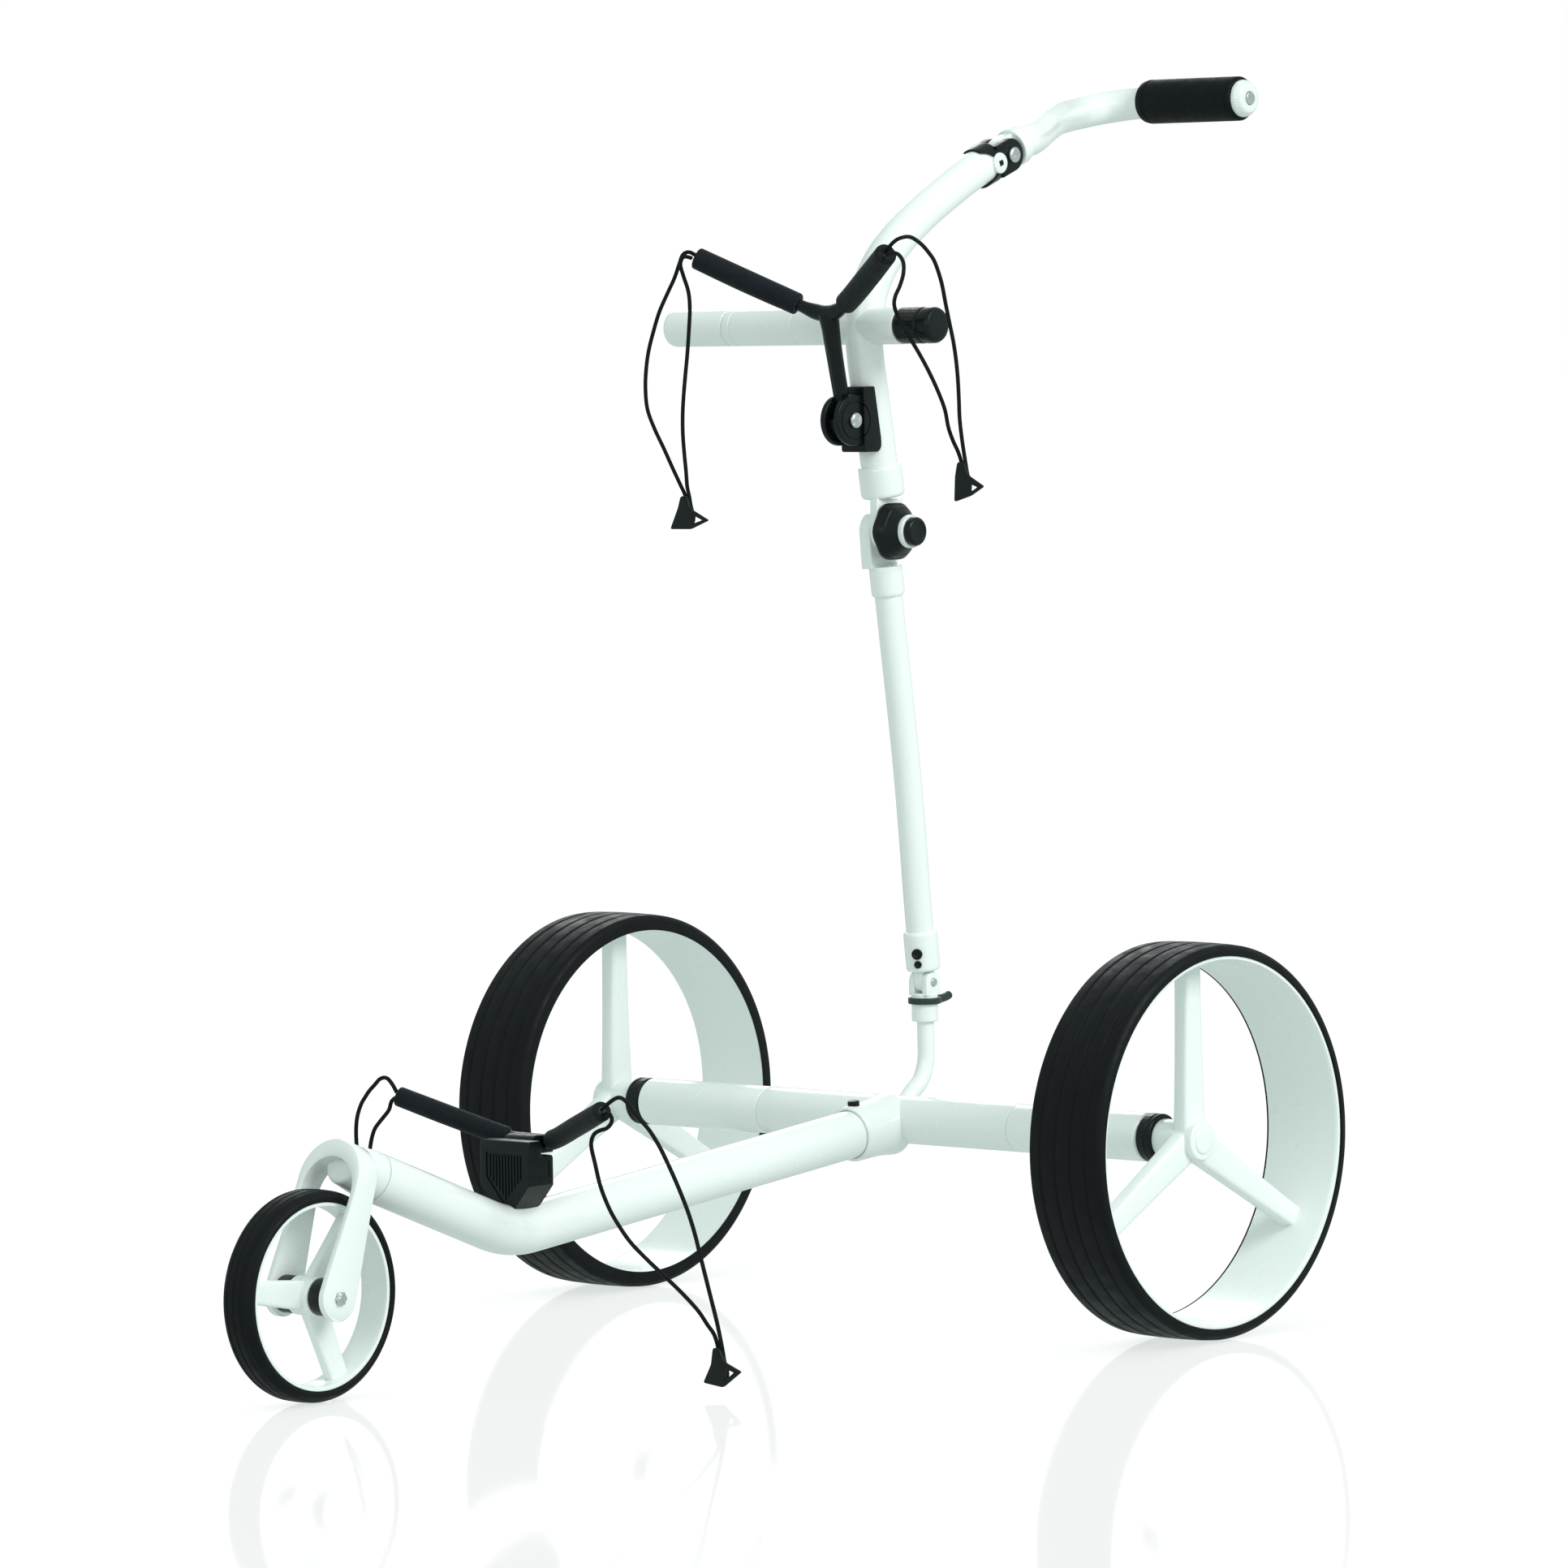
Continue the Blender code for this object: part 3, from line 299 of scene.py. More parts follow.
def metal(name, colour, rough=(0.2, 0.34), stretch=(900, 60, 60)):
    """Machined steel with fine lines across its axis."""
    made, tree, shader = new_material(name)
    lines = noise(tree, 4, 3, stretch)
    plugged(tree, shader, {
        "Base Color": tint(tree, lines, tuple(c * 0.82 for c in colour), colour),
        "Roughness": spread(tree, lines, *rough),
        "Normal": bump(tree, lines, 0.00002),
        "Metallic": 1.0})
    return made


WHITE = painted("white_paint", (0.875, 0.91, 0.897), (0.85, 0.89, 0.876), (0.20, 0.28), 0.4)
WHITE_PLASTIC = painted("white_plastic", (0.865, 0.91, 0.893), (0.84, 0.885, 0.868), (0.26, 0.36), 0.25)
BLACK = moulded("black_plastic", (0.0022, 0.0038, 0.0052), (0.005, 0.0078, 0.0098), (0.26, 0.40), 2200,
                0.00004)
SOFT_BLACK = moulded("black_grip", (0.0022, 0.0034, 0.0048), (0.0052, 0.0072, 0.0092), (0.5, 0.66), 1400,
                     0.00008, 0.12)
TYRE, FOAM, BRAID = tyre_rubber(), foam(), braid()
STEEL = metal("screw_steel", (0.70, 0.72, 0.73))
LEVER = moulded("lever_plastic", (0.022, 0.036, 0.033), (0.034, 0.052, 0.048), (0.3, 0.42), 2200, 0.00004)
DIAL = painted("dial_silver", (0.80, 0.84, 0.83), (0.76, 0.80, 0.79), (0.22, 0.3), 0.3)


# Shapes ----
# A turned piece's profile is (distance along its axis, radius) points; a third number rounds the corner.

def rounded(profile, size, closed=False, steps=4):
    """A profile with its corners rounded by up to size; a corner on the axis stays."""
    count, result = len(profile), []
    for i, corner in enumerate(profile):
        if (not closed and i in (0, count - 1)) or corner[1] == 0:
            result.append(tuple(corner[:2]))
            continue
        here = Vector(corner[:2])
        reach = corner[2] if len(corner) > 2 else size
        before, after = Vector(profile[i - 1][:2]) - here, Vector(profile[(i + 1) % count][:2]) - here
        first = here + before.normalized() * min(reach, before.length * 0.45)
        last = here + after.normalized() * min(reach, after.length * 0.45)
        for k in range(steps + 1):
            t = k / steps
            result.append(tuple(first * (1 - t) ** 2 + here * 2 * t * (1 - t) + last * t * t))
    return result


def bridge(mesh, first, second):
    count = max(len(first), len(second))
    made = []
    for i in range(count):
        j = (i + 1) % count
        corners = [first[i % len(first)], second[i % len(second)], second[j % len(second)],
                   first[j % len(first)]]
        made.append(mesh.faces.new([v for k, v in enumerate(corners) if v not in corners[:k]]))
    return made


def skinned(mesh, loops):
    """Join loops of vertices one after another and close both ends."""
    for first, second in zip(loops, loops[1:]):
        bridge(mesh, first, second)
    mesh.faces.new(loops[0])
    mesh.faces.new(loops[-1])
    return mesh


def turned(profile, centre, axis, steps=96, wave=None, into=None):
    """Turn (distance along the axis, radius) points about an axis, as a solid or a ring."""
    mesh = into or bmesh.new()
    axis = Vector(axis).normalized()
    side = Y.copy() if abs(axis.x) > 0.9 else X.copy()
    side = (side - axis * side.dot(axis)).normalized()
    up = axis.cross(side)
    loops = []
    for along, radius in profile:
        base = centre + axis * along
        if radius == 0:
            loops.append([mesh.verts.new(base)])
            continue
        loop = []
        for i in range(steps):
            angle = 2 * math.pi * i / steps
            reach = radius * (wave(angle, along, radius) if wave else 1)
            loop.append(mesh.verts.new(base + (side * math.cos(angle) + up * math.sin(angle)) * reach))
        loops.append(loop)
    for first, second in zip(loops, loops[1:]):
        bridge(mesh, first, second)
    if profile[0][1] != 0:
        bridge(mesh, loops[-1], loops[0])
    return mesh


def fluted(count, depth, over, start=-math.inf, end=math.inf):
    """Shallow waves round a turned piece, where its radius is over a size and between two places."""
    def wave(angle, along, radius):
        if radius > over and start < along < end:
            return 1 - depth * (0.5 - 0.5 * math.cos(count * angle))
        return 1
    return wave


def solid(profile, centre, axis, edge=0.8, steps=96, wave=None, into=None):
    return turned(rounded(profile, edge), centre, axis, steps, wave, into)


def ring(profile, centre, axis, edge=0.8, steps=96, wave=None, into=None):
    return turned(rounded(profile, edge, True), centre, axis, steps, wave, into)


def frames_along(path):
    """A tangent, a side and an up direction at each point, turning as little as they can."""
    count, side, result = len(path), None, []
    for i in range(count):
        tangent = (path[min(i + 1, count - 1)] - path[max(i - 1, 0)]).normalized()
        if side is None:
            side = X.cross(tangent)
            side = side if side.length > 0.3 else Z.cross(tangent)
        side = (side - tangent * side.dot(tangent)).normalized()
        result.append((tangent, side, tangent.cross(side)))
    return result


def rounded_end(end, axes, radius, cap, sign):
    """Rings that round a tube's end, from its face to its full size."""
    angles = [math.pi / 2 * k / 4 for k in range(5)]
    return [(end + axes[0] * sign * cap * (1 - math.cos(a)), axes, radius - cap + cap * math.sin(a))
            for a in angles]


def swept(path, radius, steps=40, cap=0.0, size_at=None):
    """A solid tube along a path, its ends rounded by cap, with UVs in diameters along and round."""
    mesh = bmesh.new()
    uv = mesh.loops.layers.uv.verify()
    frames = frames_along(path)
    rings = [(point, axes, radius) for point, axes in zip(path, frames)]
    if cap:
        rings = (rounded_end(path[0], frames[0], radius, cap, 1) + rings[1:-1]
                 + rounded_end(path[-1], frames[-1], radius, cap, -1)[::-1])
    walked, loops, where = 0.0, [], []
    total = max(1e-9, sum((b[0] - a[0]).length for a, b in zip(rings, rings[1:])))
    for i, (point, (_, side, up), size) in enumerate(rings):
        if i:
            walked += (point - rings[i - 1][0]).length
        reach = size * (size_at(walked / total) if size_at else 1)
        loops.append([mesh.verts.new(point + (side * math.cos(a) + up * math.sin(a)) * reach)
                      for a in (2 * math.pi * k / steps for k in range(steps))])
        where.append(walked / (2 * radius))
    for i in range(len(loops) - 1):
        for k, face in enumerate(bridge(mesh, loops[i], loops[i + 1])):
            corners = {}
            for row, loop in ((i, loops[i]), (i + 1, loops[i + 1])):
                for column in (k, k + 1):
                    corners[loop[column % steps]] = (where[row], math.pi * column / steps)
            for corner in face.loops:
                corner[uv].uv = corners[corner.vert]
    mesh.faces.new(loops[0])
    mesh.faces.new(loops[-1])
    return mesh


def inset(outline, distance):
    """An outline moved inward by a distance, corner by corner."""
    count = len(outline)
    area = sum(a[0] * b[1] - b[0] * a[1] for a, b in zip(outline, outline[1:] + outline[:1]))
    turn = 1 if area > 0 else -1
    result = []
    for i, (a, b) in enumerate(outline):
        before = (Vector((a, b)) - Vector(outline[i - 1])).normalized()
        after = (Vector(outline[(i + 1) % count]) - Vector((a, b))).normalized()
        normal = Vector((-before.y - after.y, before.x + after.x)) * turn
        normal.normalize()
        lean = max(0.5, normal.dot(Vector((-after.y, after.x)) * turn))
        result.append((a + normal.x * distance / lean, b + normal.y * distance / lean))
    return result


def slab(outline, start, end, edge=0.0, axis="x", corner=0.0, into=None):
    """Extrude an outline of (y, z) points along x, or (x, z) points along y.

    Its rims are rounded by edge, and the outline's corners by corner.
    """
    mesh = into if into is not None else bmesh.new()
    spot = (lambda d, a, b: (d, a, b)) if axis == "x" else (lambda d, a, b: (a, d, b))
    steps = 4 if edge else 0
    layers = []
    for k in range(steps + 1):
        angle = math.pi / 2 * (k / steps if steps else 1)
        line = inset([tuple(p) for p in outline], edge * (1 - math.sin(angle)))
        layers.append((edge * (1 - math.cos(angle)), rounded(line, corner, True) if corner else line))
    loops = [[mesh.verts.new(spot(start + deep, a, b)) for a, b in line] for deep, line in layers]
    loops += [[mesh.verts.new(spot(end - deep, a, b)) for a, b in line] for deep, line in reversed(layers)]
    return skinned(mesh, loops)


def tongue(centre, towards, radius, length, start, end, edge=0.6):
    """A flat lug across x, round about a centre and straight for a length towards a direction."""
    outline, steps = [], 28
    towards = Vector(towards).normalized()
    side = X.cross(towards)
    for i in range(steps + 1):
        angle = math.pi * i / steps
        outline.append((centre + (side * math.cos(angle) - towards * math.sin(angle)) * radius).yz)
    for sign in (-1, 1):
        outline.append((centre + side * radius * sign + towards * length).yz)
    return slab(outline, start, end, edge)


def cheeks(centre, towards, radius, length, inner, outer, edge):
    """Boolean steps that add the two cheeks of a fork, inner to outer from its middle."""
    return [(JOIN, tongue(centre, towards, radius, length, *sorted((side * inner, side * outer)), edge))
            for side in (-1, 1)]


def smooth_path(points, spacing):
    """Points at an even spacing along a smooth curve through the given points."""
    knots = [Vector(p) for p in points]
    knots = [knots[0] * 2 - knots[1]] + knots + [knots[-1] * 2 - knots[-2]]
    dense = []
    for a, b, c, d in zip(knots, knots[1:], knots[2:], knots[3:]):
        for i in range(24):
            t = i / 24
            dense.append(0.5 * (2 * b + (c - a) * t + (2 * a - 5 * b + 4 * c - d) * t ** 2
                                + (3 * b - a - 3 * c + d) * t ** 3))
    dense.append(knots[-2])
    total = length_of(dense)
    count = max(2, round(total / spacing))
    result, walked, target = [dense[0]], 0.0, total / count
    for a, b in zip(dense, dense[1:]):
        step = (b - a).length
        while walked + step >= target - 1e-6 and len(result) < count:
            result.append(a.lerp(b, (target - walked) / step))
            target += total / count
        walked += step
    return result + [dense[-1]]


def bent_path(start, corner, end, radius, steps=20):
    """Two straight runs joined by a round bend."""
    before, after = (corner - start).normalized(), (end - corner).normalized()
    half = before.angle(after) / 2
    run = radius * math.tan(half)
    first, last = corner - before * run, corner + after * run
    middle = corner + (after - before).normalized() * radius / math.cos(half)
    inward, outward = (first - middle).normalized(), (last - middle).normalized()
    return [start] + [middle + inward.slerp(outward, i / steps) * radius for i in range(steps + 1)] + [end]


def finish(name, mesh, look, body, node=None, sharp=32):
    """A piece from a mesh in trolley millimetres, riding on a body, mostly in place of a CAD node.

    Edges sharper than sharp degrees stay crisp.
    """
    bmesh.ops.recalc_face_normals(mesh, faces=mesh.faces)
    mesh.transform(Matrix.Translation(SHIFT) @ Matrix.Scale(MM, 4))
    thing = stored(name, mesh)
    thing.data.shade_smooth()
    thing.data.set_sharp_from_angle(angle=math.radians(sharp))
    thing.data.materials.append(look)
    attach(thing, body)
    if node:
        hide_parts(node)
    return thing


def raw(mesh):
    """A loose object for Booleans, in trolley millimetres."""
    bmesh.ops.recalc_face_normals(mesh, faces=mesh.faces)
    return stored("raw", mesh)


def combined(first, *steps):
    """Boolean steps of (CUT or JOIN, mesh) on a first mesh, as one mesh."""
    thing = raw(first)
    tools = []
    for operation, mesh in steps:
        tool = raw(mesh)
        tools.append(tool)
        step = thing.modifiers.new("step", "BOOLEAN")
        step.operation, step.solver, step.object = operation, "EXACT", tool
    graph = bpy.context.evaluated_depsgraph_get()
    result = bmesh.new()
    data = bpy.data.meshes.new_from_object(thing.evaluated_get(graph))
    result.from_mesh(data)
    bpy.data.meshes.remove(data)
    for tool in [thing] + tools:
        old = tool.data
        bpy.data.objects.remove(tool)
        bpy.data.meshes.remove(old)
    bmesh.ops.remove_doubles(result, verts=result.verts, dist=0.0005)
    return result


def hole(centre, radius=PIN_HOLE_R, reach=20):
    """A Boolean step that bores a hole along x."""
    return (CUT, rod(centre - X * reach, centre + X * reach, radius))


def rod(start, end, radius, edge=0.0, steps=64):
    length = (end - start).length
    return solid([(0, 0), (0, radius), (length, radius), (length, 0)], start, end - start, edge, steps)


# Straps ----

# Each strap is one looped elastic cord: down from the arm's end, round the hook's peg, and back.
# Points are (distance outward from the middle, y, z).
PEG_LOOP = [(2, 16), (3.4, 9), (6, 1), (4.4, -4.2), (0, -6), (-4.4, -4.2), (-6, 1), (-3.4, 9), (-2, 16)]
LOWER_Y = -427


def lower_leg(points):
    return [(x, LOWER_Y, z) for x, z in points]


LOWER_EXIT = [(103.1, -426.6, 195.3)]
LOWER_RETURN = [(104.2, LOWER_Y, 191.6)]
STRAPS = {
    ("lower", "left"): {
        "down": LOWER_EXIT + lower_leg([
            (109.5, 200), (118, 203.5), (125.5, 200.5), (130.5, 195), (139, 188), (147, 181.5),
            (156, 171), (164, 159), (173, 144), (181.5, 128), (188, 112.5), (193, 97), (198, 81.5),
            (203, 66), (207.5, 52), (210.5, 41)]),
        "peg": Vector((211, LOWER_Y, 14.5)),
        "up": lower_leg([
            (205.5, 41), (199, 48), (190, 57.5), (175.5, 68.5), (159.5, 79), (142.5, 90),
            (127, 101), (115.5, 112.5), (106.5, 124), (98.5, 139), (93.5, 155), (90, 168),
            (92.5, 175.5), (98.5, 179), (105.5, 181), (110.3, 185.5), (109.6, 190.5)]) + LOWER_RETURN,
        "corners": [(207, 33), (213, 33), (218, 23.5), (233.3, 17.8), (215.8, 5.6), (197.3, 7.6),
                    (205, 21)],
        "window": [(219, 19), (227, 17), (218, 10.5)],
    },
    ("lower", "right"): {
        "down": LOWER_EXIT + lower_leg([
            (107.5, 201.5), (113, 205.5), (119.5, 204.5), (125, 200), (131, 195), (135.5, 190),
            (139.5, 185), (143.8, 175.5), (145.3, 165), (145, 154), (144, 140), (143.5, 126), (145, 110),
            (149, 94), (155, 77), (160.5, 66)]),
        "peg": Vector((161, LOWER_Y, 43.5)),
        "up": lower_leg([
            (155.5, 66), (149.5, 76), (142.5, 90), (138, 105), (135, 120), (133.7, 135),
            (132.3, 147), (130, 158.5), (126.5, 167), (121.5, 172.5), (116, 177.5),
            (111, 182.5), (108.5, 188.5)]) + LOWER_RETURN,
        "corners": [(157.5, 62), (164.5, 62), (167.5, 52), (174.5, 33.5), (161.5, 32), (151.3, 37.4),
                    (155, 52)],
        "window": [(166, 44), (170, 36), (163.5, 35)],
    },
    ("upper", "left"): {
        "down": [
            (95.6, -100.1, 797.9), (101.5, -101.8, 802.3), (105.8, -98.5, 806), (107, -88, 807),
            (106, -75, 802), (106.2, -66, 795), (105.7, -59, 788), (103.8, -50, 773.5),
            (102.5, -44.5, 759), (103.4, -41.5, 744.5), (105.3, -39.5, 730), (106.9, -38.5, 716),
            (107.5, -37.5, 701.5), (107.3, -36.5, 687), (107.5, -36.2, 672.5), (109.5, -36, 656)],
        "peg": Vector((110.5, -36, 623.5)),
        "up": [
            (105.2, -36, 648.5), (100.5, -36, 656.5), (96.3, -36.2, 666.5), (93, -36.2, 680),
            (86, -36.2, 694.5), (77.3, -36.2, 709), (67.5, -36.2, 723), (57.8, -36.3, 735.5),
            (50.5, -37.5, 747), (52, -44, 757), (62, -54, 764), (76, -65, 771), (92, -79, 780),
            (104, -92.5, 788.5), (107.2, -101.6, 794.4), (103.2, -105.2, 795.6), (97.4, -102.9, 793.7)],
        "corners": [(107.5, 641), (113.5, 641), (118, 631), (132.8, 623), (120, 616), (104, 611.5),
                    (105, 630)],
        "window": [(119, 625), (127, 622.5), (120, 618.5)],
    },
    ("upper", "right"): {
        "down": [
            (96.3, -98.7, 796.7), (101.5, -101, 799.5), (106.5, -102.5, 797.5), (110, -102.8, 790.5),
            (115.5, -102.5, 780), (123, -101.5, 770), (133, -100.6, 755.5), (140, -100, 741),
            (145.5, -100, 726), (148.5, -100, 711.5), (149.5, -100, 697), (147.8, -100, 682),
            (141, -100, 667.5), (132, -100, 653), (123.5, -100, 638.5), (116.5, -100, 627)],
        "peg": Vector((108.5, -100, 600.5)),
        "up": [
            (108.5, -100, 624), (109.5, -100, 636), (111, -100, 650), (112, -100, 664), (111.8, -100, 678),
            (110.5, -100, 692), (108.5, -100, 706.5), (106, -100, 723), (104, -100, 740),
            (101.8, -100.8, 757), (101.5, -102.5, 770), (104.5, -104.5, 782), (106.2, -105.6, 790.5),
            (102.6, -105.6, 796), (96.7, -102.7, 794.8)],
        "corners": [(112, 617), (105.5, 617), (102.5, 607.5), (84.1, 598.9), (102.5, 592.1), (123.2, 592),
                    (115, 608)],
        "window": [(100, 603), (90, 599), (101, 596)],
    },
}


def hook(name, corners, window, peg, side, body):
    """A flat moulded hook with a rounded rim, a finger hole and the peg that the cord loops round."""
    thick, rim, corner_r, window_r, peg_r = 2.5, 0.7, 2.0, 1.0, 2.8
    back = peg.y - STRAP_R - GAP
    front = back - thick
    plate = slab([(side * x, z) for x, z in corners], front, back, rim, "y", corner_r)
    opening = slab([(side * x, z) for x, z in window], front - 2, back + 2, 0, "y", window_r)
    middle = Vector((side * peg.x, peg.y, peg.z))
    post = rod(middle - Y * (STRAP_R + GAP + 1), middle + Y * STRAP_R, peg_r, 0.5, 32)
    return finish(f"{name}_piece", combined(plate, (CUT, opening), (JOIN, post)), BLACK, body, name, 40)


def strap(level, hand, down, peg, up, corners, window):
    side = 1 if hand == "left" else -1
    body = "chassis" if level == "lower" else "upper_bracket"
    name = f"{level}_strap_{hand}"
    route = down + [(peg.x + out, peg.y, peg.z + rise) for out, rise in PEG_LOOP] + up
    path = smooth_path([Vector((side * x, y, z)) for x, y, z in route], 2.5)
    cord = finish(f"{name}_cord", swept(path, STRAP_R, 16, 0.4), BRAID, body, name, 50)
    catch = hook(f"{level}_hook_{hand}", corners, window, peg, side, body)


# Wheels ----

def tread(half, side_rise, shoulder, top, grooves, depth, groove_half):
    """The running surface from one shoulder to the other, slightly crowned, with shallow grooves."""
    points = [(-half + 0.6, side_rise, 1.5), (-half + shoulder, top - 1, 1.2)]
    for x in grooves:
        crown = top - 0.9 * (x / half) ** 2
        points += [(x - groove_half, crown, 0.3), (x - groove_half * 0.6, crown - depth, 0.3),
                   (x + groove_half * 0.6, crown - depth, 0.3), (x + groove_half, crown, 0.3)]
    return points + [(half - shoulder, top - 1, 1.2), (half - 0.6, side_rise, 1.5)]


def rear_wheel(hand, side):
    body = f"{hand}_wheel"
    centre, outward = Vector((side * REAR_X, 0, AXLE_Z)), X * side
    half, inner = REAR_HALF, 136.3
    profile = ([(-half + 0.3, 132.4, 0.4), (-half + 0.2, inner - 1, 0.3)]
               + tread(half, REAR_R - 4, 3.5, REAR_R, (-21, -7, 7, 21), 0.7, 1.5)
               + [(half, inner, 0.8), (half - 1.2, inner, 0.2), (-half + 1.2, inner, 0.2),
                  (-half + 1.2, 132.4, 0.3)])
    finish(f"tyre_{hand}", ring(profile, centre, outward, 0.8, 200), TYRE, body, f"rear_tyre_{hand}")
    wide = half - 1.5
    barrel = [(-wide, 132.6), (-wide, 136, 0.4), (wide, 136, 0.6), (wide, 133.6, 0.5),
              (wide - 2.5, 132.8, 1), (-wide + 2.5, 132.8, 1)]
    rim = ring(barrel, centre, outward, 0.6, 200)
    steps = [(JOIN, spoke_mesh(centre, 90 + 120 * k, 134.5, 12.5, 8, 7.5)) for k in range(3)]
    hub = solid([(-24.4, 0), (-24.4, 14.5), (13, 14.5, 2), (13, 0)], centre, outward, 0.6, 72)
    steps.append((JOIN, hub))
    hollow = solid([(-27, 0), (-27, 5.3), (10.5, 5.3), (10.5, 0)], centre, outward, 0.1, 48)
    steps.append((CUT, hollow))
    finish(f"rim_{hand}", combined(rim, *steps), WHITE_PLASTIC, body, f"rear_rim_{hand}", CUT_EDGE)
    cap = solid([(12.6, 0), (12.6, 9.5), (13.6, 9.5, 0.5), (14.2, 8, 0.8), (14.4, 0)], centre, outward,
                0.6, 64)
    finish(f"hub_cap_{hand}", cap, WHITE_PLASTIC, body)
    face = 249.8 - REAR_X
    profile = [(-42.5, 0), (-42.5, 5), (face, 5), (face, 17), (face + 1, 18), (-30, 18), (-29.4, 17.2),
               (-28.2, 17.2), (-27.6, 18), (-25.7, 18), (-24.7, 17), (-24.7, 5), (10, 5), (10, 0)]
    knurl = lambda angle, along, radius: 1 - (0.012 * (math.cos(30 * angle) > 0.2)
                                              if radius > 17.5 and -36 < along < -30.5 else 0)
    coupling = solid(profile, centre, outward, 0.6, 120, knurl)
    finish(f"coupling_{hand}", coupling, BLACK, body, f"wheel_coupling_{hand}")


def spoke_mesh(centre, degrees, reach, root_half, tip_half, depth_half):
    """A tapered spoke of crowned section, widening softly into the rim."""
    angle = math.radians(degrees)
    out = Vector((0, math.cos(angle), math.sin(angle)))
    across = Vector((0, -math.sin(angle), math.cos(angle)))
    mesh, loops = bmesh.new(), []
    stations = 14
    for i in range(stations + 1):
        t = i / stations
        wide = root_half + (tip_half - root_half) * t
        deep = depth_half * (1 - 0.12 * math.sin(math.pi * t))
        loop = []
        for k in range(24):
            a = 2 * math.pi * k / 24
            c, s = math.cos(a), math.sin(a)
            power = 0.42
            w = wide * math.copysign(abs(c) ** power, c)
            d = deep * math.copysign(abs(s) ** power, s)
            loop.append(mesh.verts.new(centre + out * reach * t + across * w + X * d))
        loops.append(loop)
    return skinned(mesh, loops)


def front_wheel():
    half, inner = 15.5, 66.3
    profile = ([(-half + 1.7, inner, 0.5)]
               + tread(half, FRONT_R - 5, 5, FRONT_R, (-6.5, 0, 6.5), 0.5, 1.0)
               + [(half - 1.7, inner, 0.5)])
    finish("tyre_front", ring(profile, FRONT_AXLE, X, 0.8, 160), TYRE, "front_wheel", "front_tyre")
    barrel = [(-13, 63.4), (-13, 66, 0.4), (13, 66, 0.4), (13, 63.4, 0.5), (10.5, 63, 0.8),
              (-10.5, 63, 0.8)]
    rim = ring(barrel, FRONT_AXLE, X, 0.5, 160)
    steps = [(JOIN, spoke_mesh(FRONT_AXLE, 52 + 120 * k, 64.5, 11, 8, 5)) for k in range(3)]
    steps.append((JOIN, solid([(-10.5, 0), (-10.5, 14), (10.5, 14), (10.5, 0)], FRONT_AXLE, X, 0.8, 64)))
    steps.append(hole(FRONT_AXLE, 7.3))
    finish("rim_front", combined(rim, *steps), WHITE_PLASTIC, "front_wheel", "front_rim", CUT_EDGE)
    bush = ring([(-10.5, 4.4), (-10.5, 7), (10.5, 7), (10.5, 4.4)], FRONT_AXLE, X, 0.5, 48)
    finish("bush_front", bush, STEEL, "front_wheel", "front_bush")


# Axle and frame ----

def axle():
    middle = Vector((0, 0, AXLE_Z))
    tube = ring([(-140, 13.5), (-140, 15.7), (-125, 15.7), (-125, 18, 0.9), (125, 18, 0.9), (125, 15.7),
                 (140, 15.7), (140, 13.5)], middle, X, 0.4, 96)
    finish("axle_tube", tube, WHITE, "chassis", "axle_centre")
    for side, hand in SIDES:
        profile = [(125.3, 16), (125.3, 18, 0.9), (247.5, 18), (249.5, 16, 0.8), (249.5, 9), (246.5, 9),
                   (246.5, 16)]
        finish(f"housing_{hand}", ring(profile, middle, X * side, 0.5, 96), WHITE, "chassis",
               f"motor_housing_{hand}")
        motor = [(145, 0), (145, 14.4), (146, 15.4), (204, 15.4), (204, 14.6), (207, 14.6), (207, 15.7),
                 (244, 15.7), (244, 0)]
        finish(f"motor_{hand}", solid(motor, middle, X * side, 0.3, 64), STEEL, "chassis",
               f"geared_motor_{hand}")


def main_path():
    along = (MAIN_BEND - MAIN_START).normalized()
    return bent_path(MAIN_START + along * 24, MAIN_BEND, MAIN_END, 90)


def main_frame():
    along = (MAIN_BEND - MAIN_START).normalized()
    profile = [(6, 18.3), (6, 24.2, 3), (24, 21.5, 5), (50, 21, 1), (52, 20, 0.8), (52, 18.3)]
    foot = MAIN_START + along * 44
    upward = along.cross(X)
    upward = upward if upward.z > 0 else -upward
    well = lambda: rod(foot + upward * 6.5, foot + upward * 30, 4.8)
    sock = combined(ring(profile, MAIN_START, along, 0.8, 96), (CUT, well()),
                    (CUT, rod(Vector((-60, 0, AXLE_Z)), Vector((60, 0, AXLE_Z)), 18.05, 0, 96)))
    finish("socket_sleeve", sock, WHITE, "chassis", "frame_socket")
    tube = combined(swept(main_path(), 18, 72), (CUT, well()))
    finish("spine_tube", tube, WHITE, "chassis", "main_tube")
    press = solid([(0, 0), (0, 4.5), (13.5, 4.5, 1.2), (13.2, 0)], foot + upward * 11, upward, 0.8, 48)
    finish("release_button", press, BLACK, "socket_button", "socket_button")


